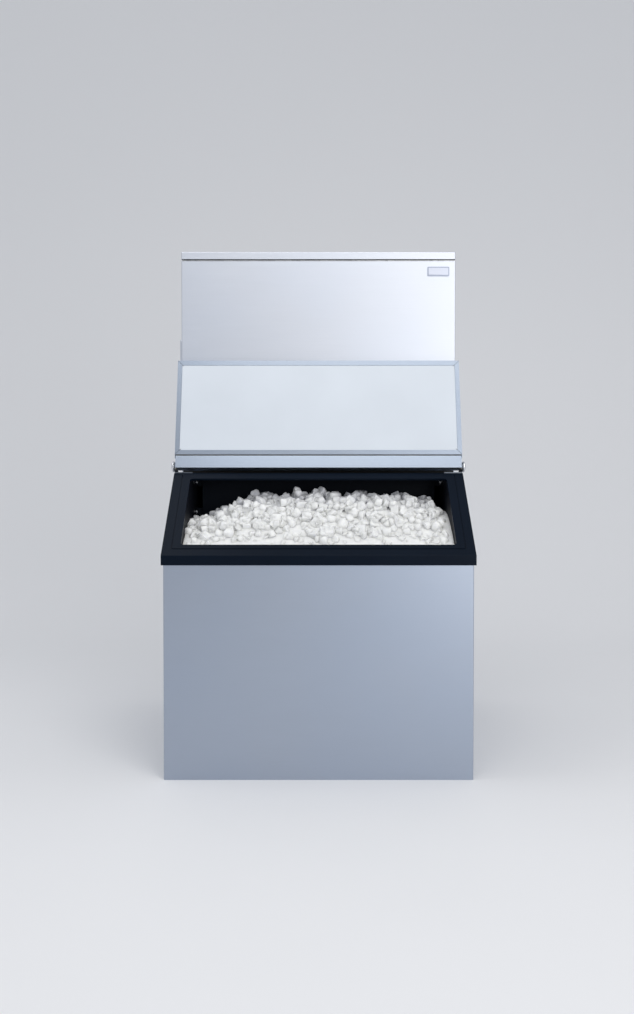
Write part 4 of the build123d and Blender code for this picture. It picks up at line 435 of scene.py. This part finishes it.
def ice_cube(name, length, dimple):
    """A melted cube: the top inset and pushed in for the dimple, all edges cut back."""
    clear_selection()
    bpy.ops.mesh.primitive_cube_add(size=CUBE_SIDE)
    cube = active(name)
    cube.scale = (1.0, length, CUBE_HEIGHT)
    bpy.ops.object.transform_apply(location=False, rotation=False, scale=True)
    bpy.ops.object.mode_set(mode="EDIT")
    pick(cube, UP)
    bpy.ops.mesh.inset(thickness=DIMPLE_EDGE)
    bpy.ops.transform.translate(value=(0.0, 0.0, -dimple * CUBE_SIDE))
    pick(cube, DOWN)
    bpy.ops.transform.resize(value=(NARROW_BASE, NARROW_BASE, 1.0))
    bpy.ops.object.mode_set(mode="OBJECT")
    melt = cube.modifiers.new("melt", "BEVEL")
    melt.width = MELTED_CORNER
    melt.segments = 1
    apply_all(cube)
    bpy.ops.object.shade_smooth_by_angle(angle=math.radians(50))
    return cube


CUBES = [
    ice_cube("ice_square", length=1.0, dimple=0.16),
    ice_cube("ice_long", length=1.2, dimple=0.10),
    ice_cube("ice_short", length=0.8, dimple=0.2),
]
print("cube faces:", [len(cube.data.polygons) for cube in CUBES])

# %% [markdown]
# The door closes over the ice, so no cube may stand higher than the closed door's inner panel. Its
# corners are turned about the hinge, which lies in the middle of the two pins, and the one that
# reaches deepest below the frame's 45 degree slope sets how high a cube may rise. A door that lies
# on the frame reaches no deeper than the slope, and then the slope itself is the limit.

# %% Room under the closed door

DOOR_TRAVEL = math.radians(148.5)
DIAGONAL = math.sqrt(2.0)


def closed_door_depth(slope):
    """How far the closed door's inner panel reaches below the plane z - y = slope."""
    hinge_low, hinge_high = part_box("hinge_pins")
    hinge_y, hinge_z = ((hinge_low[i] + hinge_high[i]) / 2 for i in (1, 2))
    deepest = 0.0
    for vertex in NODES["door_liner_panel"].data.vertices:
        y, z = vertex.co.y - hinge_y, vertex.co.z - hinge_z
        closed_y = hinge_y + y * math.cos(DOOR_TRAVEL) - z * math.sin(DOOR_TRAVEL)
        closed_z = hinge_z + y * math.sin(DOOR_TRAVEL) + z * math.cos(DOOR_TRAVEL)
        deepest = max(deepest, (slope - closed_z + closed_y) / DIAGONAL)
    return deepest


SLOPE_LINE = max(v.co.z - v.co.y for v in NODES["door_frame"].data.vertices)
DOOR_DEPTH = closed_door_depth(SLOPE_LINE)


def under_door(y, z, reach):
    """The height z, lowered where a cube of that reach would touch the closed door."""
    return min(z, y + SLOPE_LINE - (DOOR_DEPTH + reach) * DIAGONAL)


print("the closed door reaches", round(DOOR_DEPTH / MM, 1), "mm below the frame's slope")

# %% Scatter the cubes on the heap

HEAP_LOW, HEAP_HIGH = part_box("ice_heap")
LINER_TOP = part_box("bin_liner")[1][2]
DEFLECTOR_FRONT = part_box("ice_deflector")[0][1]
SILL_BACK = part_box("door_frame")[0][1] + 46.0 * MM
SPACING = 0.74 * CUBE_SIDE
# The jitter is in spacings. The reach of a corner and the rise above the heap are in cube sides.
JITTER = 0.4
WALL_CLEARANCE = 0.55 * CUBE_SIDE
CORNER_REACH = 0.86
RISE_RANGE = (-0.42, 0.14)
SIZE_RANGE = (0.82, 1.15)
DEEPEST_ICE = 250.0 * MM
# Behind the sill the cubes lie lower and are smaller, fading out over this distance.
SILL_FADE = 50.0 * MM
SILL_SINK = 0.35
SILL_SHRINK = 0.15


def heap_top(x, y):
    """The height where a ray dropped at x, y meets the CAD heap, or None."""
    start = Vector((x, y, HEAP_HIGH[2] + 0.1))
    hit, place, _, _ = NODES["ice_heap"].ray_cast(start, DOWN)
    return place.z if hit else None


def one_cube(x, y, top):
    """A copy of one of the cubes, sunk a little and turned at random."""
    master = random.choice(CUBES)
    turn = [random.uniform(0.0, math.tau) for _ in range(3)]
    near_sill = max(0.0, 1.0 - (y - SILL_BACK) / SILL_FADE)
    rise = (random.uniform(*RISE_RANGE) - SILL_SINK * near_sill) * CUBE_SIDE
    size = random.uniform(*SIZE_RANGE) - SILL_SHRINK * near_sill
    z = under_door(y, top + rise, size * CUBE_SIDE * CORNER_REACH)
    return copy_at(master, (x, y, z), turn, size)


def scatter():
    """A cube near each point of a loose grid, wherever the heap lies high enough to be seen."""
    copies = []
    x = HEAP_LOW[0] + WALL_CLEARANCE
    while x < HEAP_HIGH[0] - WALL_CLEARANCE:
        y = SILL_BACK
        while y < DEFLECTOR_FRONT - WALL_CLEARANCE:
            at_x = x + random.uniform(-JITTER, JITTER) * SPACING
            at_y = y + random.uniform(-JITTER, JITTER) * SPACING
            top = heap_top(at_x, at_y)
            if top is not None and top > LINER_TOP - DEEPEST_ICE:
                copies.append(one_cube(at_x, at_y, top))
            y += SPACING
        x += SPACING
    return copies


random.seed(11)
scattered = scatter()
print("cubes on the heap:", len(scattered))
loose_ice = joined(scattered, "loose_ice")
for cube in CUBES:
    bpy.data.objects.remove(cube)
finish(loose_ice, ICE)
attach(loose_ice, "bin")
finish(NODES["ice_heap"], ICE)
print("faces of loose ice:", len(loose_ice.data.polygons))

# %% [markdown]
# The panels hang on small hexagon-head screws with a pressed washer. The CAD leaves them out, since
# nothing depends on them, but a service panel without screws looks like a block. One screw is drawn
# with the cylinder tools, then copied along the edges of the back and side panels.

# %% One panel screw

SCREW_RADIUS = 4.4 * MM
SCREW_HEIGHT = 3.0 * MM
WASHER_RADIUS = 6.6 * MM
WASHER_HEIGHT = 1.0 * MM


def panel_screw():
    """A washer whose middle is inset and raised, and on it a hexagon head with a dished top."""
    clear_selection()
    bpy.ops.mesh.primitive_cylinder_add(vertices=18, radius=WASHER_RADIUS, depth=WASHER_HEIGHT)
    washer = active("washer")
    bpy.ops.object.mode_set(mode="EDIT")
    pick(washer, UP)
    bpy.ops.mesh.inset(thickness=1.2 * MM)
    bpy.ops.transform.translate(value=(0.0, 0.0, 0.4 * MM))
    bpy.ops.object.mode_set(mode="OBJECT")
    centre = (0.0, 0.0, WASHER_HEIGHT / 2 + SCREW_HEIGHT / 2)
    bpy.ops.mesh.primitive_cylinder_add(vertices=6, radius=SCREW_RADIUS, depth=SCREW_HEIGHT,
                                        location=centre)
    head = active("panel_screw")
    bpy.ops.object.transform_apply(location=True, rotation=False, scale=False)
    bpy.ops.object.mode_set(mode="EDIT")
    pick(head, UP)
    bpy.ops.mesh.inset(thickness=1.1 * MM)
    bpy.ops.transform.translate(value=(0.0, 0.0, -0.5 * MM))
    bpy.ops.object.mode_set(mode="OBJECT")
    screw = joined([head, washer], "panel_screw")
    bpy.ops.object.shade_smooth_by_angle(angle=math.radians(35))
    return screw


SCREW = panel_screw()
print("screw faces:", len(SCREW.data.polygons))

# %% Screws on the back and side panels

SPIN_BACK = (math.radians(-90), 0.0, 0.0)
SPIN_LEFT = (0.0, math.radians(-90), 0.0)
SPIN_RIGHT = (0.0, math.radians(90), 0.0)
SCREW_EDGE = 12.0 * MM
SCREW_ROWS = 4
BACK_SCREW_X = (-190.0 * MM, 190.0 * MM)
SIDE_SCREW_Y = (130.0 * MM, 270.0 * MM)


def row_heights(low, high):
    """The heights of the screws along a panel's upright edge."""
    run = high[2] - low[2] - 2 * SCREW_EDGE
    return [low[2] + SCREW_EDGE + run * row / (SCREW_ROWS - 1) for row in range(SCREW_ROWS)]


def back_screws(name):
    """Where the screws of a back panel sit: down both edges, and along its top and bottom."""
    low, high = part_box(name)
    places = []
    for z in row_heights(low, high):
        places.append((low[0] + SCREW_EDGE, high[1], z))
        places.append((high[0] - SCREW_EDGE, high[1], z))
    for x in BACK_SCREW_X:
        places.append((x, high[1], high[2] - SCREW_EDGE))
        places.append((x, high[1], low[2] + SCREW_EDGE))
    return places


def side_screws(name, side):
    """Where the screws of a side panel sit, on its low side (0) or its high side (1)."""
    low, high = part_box(name)
    x = (low, high)[side][0]
    places = [(x, high[1] - SCREW_EDGE, z) for z in row_heights(low, high)]
    for y in SIDE_SCREW_Y:
        places.append((x, y, low[2] + SCREW_EDGE))
        places.append((x, y, high[2] - SCREW_EDGE))
    return places


SCREW_GROUPS = (
    (back_screws("head_back_panel"), SPIN_BACK),
    (back_screws("bin_back_panel"), SPIN_BACK),
    (side_screws("head_left_panel", 0), SPIN_LEFT),
    (side_screws("head_right_panel", 1), SPIN_RIGHT),
)
screws = [copy_at(SCREW, place, spin) for places, spin in SCREW_GROUPS for place in places]
print("panel screws:", len(screws))
panel_screws = joined(screws, "panel_screws")
bpy.data.objects.remove(SCREW)
finish(panel_screws, PIN_STEEL)
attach(panel_screws, "bin")

# %% [markdown]
# The door's rim is four folded strips that meet at mitred corners, and the fine dark line at each
# mitre is what tells the eye that they are strips. A line is drawn flat, its edges bevelled, then
# laid on the rim's face, which a ray finds, so it leans with the door.

# %% Mitre lines on the door rim

RIM_LOW, RIM_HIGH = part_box("door_rim")
RIM_MIDDLE_Z = (RIM_LOW[2] + RIM_HIGH[2]) / 2
RIM_STRIP = 16.5 * MM
MITRE_SIZE = (RIM_STRIP * 1.30, 0.7 * MM, 0.5 * MM)


def rim_face(x, z):
    """The place and the normal of the rim's front face straight behind x, z."""
    start = Vector((x, RIM_LOW[1] - 0.1, z))
    _, place, normal, _ = NODES["door_rim"].ray_cast(start, -FRONT)
    return place, normal


def mitre(corner_x, corner_z):
    """A dark bevelled line from the rim's outer corner inwards, lying on its face."""
    inward_x = -math.copysign(RIM_STRIP / 2, corner_x)
    inward_z = math.copysign(RIM_STRIP / 2, RIM_MIDDLE_Z - corner_z)
    place, normal = rim_face(corner_x + inward_x, corner_z + inward_z)
    clear_selection()
    bpy.ops.mesh.primitive_cube_add(size=1.0)
    line = active("mitre")
    line.scale = MITRE_SIZE
    bpy.ops.object.transform_apply(location=False, rotation=False, scale=True)
    bpy.ops.object.mode_set(mode="EDIT")
    bpy.ops.mesh.select_all(action="SELECT")
    bpy.ops.mesh.bevel(offset=0.15 * MM, segments=1)
    bpy.ops.object.mode_set(mode="OBJECT")
    lean = math.atan2(normal.z, -normal.y)
    slant = math.radians(45.0) * math.copysign(1.0, inward_x * inward_z)
    turn = Matrix.Rotation(math.radians(90.0) - lean, 4, "X") @ Matrix.Rotation(slant, 4, "Z")
    line.matrix_world = Matrix.Translation(place) @ turn
    return line


RIM_CORNERS = [(x, z) for x in (RIM_LOW[0], RIM_HIGH[0]) for z in (RIM_LOW[2], RIM_HIGH[2])]
mitre_lines = joined([mitre(x, z) for x, z in RIM_CORNERS], "mitre_lines")
finish(mitre_lines, LINER_DARK)
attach(mitre_lines, "door")
print("mitre lines:", len(mitre_lines.data.polygons), "faces")

# %% [markdown]
# The head stands on a soft foam strip. A black rubber strip along the foot of its front panel is
# painted shade: it darkens the band under the leaning door, where the head's lower front lies in
# shadow. The badge's bare centre is a thin satin plate with a bevelled edge, pressed into its frame.

# %% Strip of painted shade and badge centre


def plate(name, low, high, round_by):
    """A box between two corners with its front face inset and all its edges bevelled."""
    clear_selection()
    bpy.ops.mesh.primitive_cube_add(size=1.0)
    made = active(name)
    made.scale = [h - l for l, h in zip(low, high)]
    made.location = [(h + l) / 2 for l, h in zip(low, high)]
    bpy.ops.object.transform_apply(location=True, rotation=True, scale=True)
    bpy.ops.object.mode_set(mode="EDIT")
    pick(made, FRONT)
    bpy.ops.mesh.inset(thickness=round_by * 2)
    bpy.ops.object.mode_set(mode="OBJECT")
    edge = made.modifiers.new("edge", "BEVEL")
    edge.width = round_by
    edge.segments = 2
    edge.limit_method = "ANGLE"
    apply_all(made)
    bpy.ops.object.shade_smooth_by_angle(angle=math.radians(35))
    return made


PANEL_LOW, PANEL_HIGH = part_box("head_front_panel")
STRIP_INDENT = 4.0 * MM
STRIP_PROUD = 2.5 * MM
STRIP_RISE = 9.0 * MM
# Painted shade: a black strip along the foot of the head's front, where that front lies in shadow
# under the door.
strip_low = (PANEL_LOW[0] + STRIP_INDENT, PANEL_LOW[1] - STRIP_PROUD, PANEL_LOW[2] - STRIP_PROUD)
strip_high = (PANEL_HIGH[0] - STRIP_INDENT, PANEL_LOW[1], PANEL_LOW[2] + STRIP_RISE)
shade_strip = plate("head_front_painted_shade_strip", strip_low, strip_high, round_by=0.6 * MM)
finish(shade_strip, RUBBER)
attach(shade_strip, "bin")

BADGE_LOW, BADGE_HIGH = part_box("badge_plate")
INLAY_EDGE = 3.0 * MM
INLAY_PROUD = 0.3 * MM
inlay_low = (BADGE_LOW[0] + INLAY_EDGE, BADGE_LOW[1] - INLAY_PROUD, BADGE_LOW[2] + INLAY_EDGE)
inlay_high = (BADGE_HIGH[0] - INLAY_EDGE, BADGE_HIGH[1], BADGE_HIGH[2] - INLAY_EDGE)
inlay = plate("badge_centre", inlay_low, inlay_high, round_by=0.25 * MM)
finish(inlay, INLAY_METAL)
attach(inlay, "bin")
print("strip and badge centre:", len(shade_strip.data.polygons), len(inlay.data.polygons), "faces")

# %% [markdown]
# The studio is a pale floor that sweeps up behind the machine, and large soft lamps. The satin
# sheets mirror whatever stands in front of them, blurred. The head stands high enough to mirror
# the big front lamp and turns almost white, while the bin mirrors the floor and stays grey; the
# painted reflection in their base tones adds to both.

# %% Floor

FLOOR_WIDTH = 26.0
FLOOR_DEPTH = 15.0
FLOOR_CENTRE_Y = -4.5
FLOOR_BACK = FLOOR_CENTRE_Y + FLOOR_DEPTH / 2
WALL_RISE = (0.0, 2.0, 5.0)


def backdrop():
    """A floor with a curved rise behind, bent from one plane by extruding its back edge."""
    clear_selection()
    bpy.ops.mesh.primitive_plane_add(size=1.0)
    sweep = active("floor")
    sweep.scale = (FLOOR_WIDTH, FLOOR_DEPTH, 1.0)
    sweep.location = (0.0, FLOOR_CENTRE_Y, 0.0)
    bpy.ops.object.transform_apply(location=True, rotation=True, scale=True)
    bpy.ops.object.mode_set(mode="EDIT")
    bpy.ops.mesh.select_mode(type="EDGE")
    bpy.ops.mesh.select_all(action="DESELECT")
    mesh = bmesh.from_edit_mesh(sweep.data)
    for edge in mesh.edges:
        edge.select_set(all(v.co.y > FLOOR_BACK - 0.1 for v in edge.verts))
    bmesh.update_edit_mesh(sweep.data)
    bpy.ops.mesh.extrude_region_move(TRANSFORM_OT_translate={"value": WALL_RISE})
    bpy.ops.object.mode_set(mode="OBJECT")
    bend = sweep.modifiers.new("bend", "BEVEL")
    bend.width = 1.6
    bend.segments = 16
    bend.limit_method = "ANGLE"
    apply_all(sweep)
    bpy.ops.object.shade_smooth()
    return sweep


floor = backdrop()
paper = Recipe("pale_floor", (0.82, 0.82, 0.83), 0.8)
paper.roughness(paper.between(paper.noise(scale=3.0), 0.7, 0.9))
finish(floor, paper.material)
print("floor:", len(floor.data.polygons), "faces, as high as",
      round(max(v.co.z for v in floor.data.vertices), 2), "m")

# %% Lamps

WHITE_LIGHT = (1.0, 1.0, 1.0)
WARM_LIGHT = (1.0, 0.985, 0.96)
SKY_COLOUR = (0.90, 0.93, 0.98, 1.0)
SKY_STRENGTH = 0.68


def soft_lamp(name, place, target, size, power, colour=WHITE_LIGHT):
    """A rectangular lamp that faces its target."""
    light = bpy.data.lights.new(name, "AREA")
    light.shape = "RECTANGLE"
    light.size, light.size_y = size
    light.energy = power
    light.color = colour
    lamp = bpy.data.objects.new(name, light)
    bpy.context.collection.objects.link(lamp)
    lamp.location = place
    aim = Vector(target) - Vector(place)
    lamp.rotation_euler = aim.to_track_quat("-Z", "Y").to_euler()


soft_lamp("front_lamp", (2.15, -4.4, 2.2), target=(0.1, 0.0, 0.9), size=(2.8, 2.4), power=42.0,
          colour=WARM_LIGHT)
soft_lamp("low_right_lamp", (1.75, -4.2, 0.75), target=(0.3, -0.4, 0.5), size=(1.1, 0.9),
          power=14.0)
soft_lamp("top_lamp", (0.2, -1.9, 3.2), target=(0.0, -0.2, 0.6), size=(2.2, 1.5), power=25.0,
          colour=WARM_LIGHT)
soft_lamp("upper_left_lamp", (-1.15, -0.45, 3.1), target=(-0.3, -0.3, 0.7), size=(1.0, 1.2),
          power=7.0)
world = bpy.data.worlds.new("studio")
bpy.context.scene.world = world
world.use_nodes = True
sky = world.node_tree.nodes["Background"]
sky.inputs["Color"].default_value = SKY_COLOUR
sky.inputs["Strength"].default_value = SKY_STRENGTH
bpy.context.scene.view_settings.view_transform = "Standard"

# %% [markdown]
# The camera was fitted to the edges of the head, the door, the frame and the bin in the
# photograph. It looks almost level from half the machine's height, tilted down by about one degree.

# %% Camera

EYE = (-0.004, -2.5665, 0.696)
PITCH_DOWN = math.radians(1.18)
camera_data = bpy.data.cameras.new("camera")
camera_data.lens = 30.9
camera_data.sensor_width = 36.0
camera_data.shift_y = 0.0079
camera = bpy.data.objects.new("camera", camera_data)
bpy.context.collection.objects.link(camera)
camera.location = EYE
camera.rotation_euler = (math.radians(90.0) - PITCH_DOWN, 0.0, 0.0)
bpy.context.scene.camera = camera
print("camera at", tuple(camera.location))
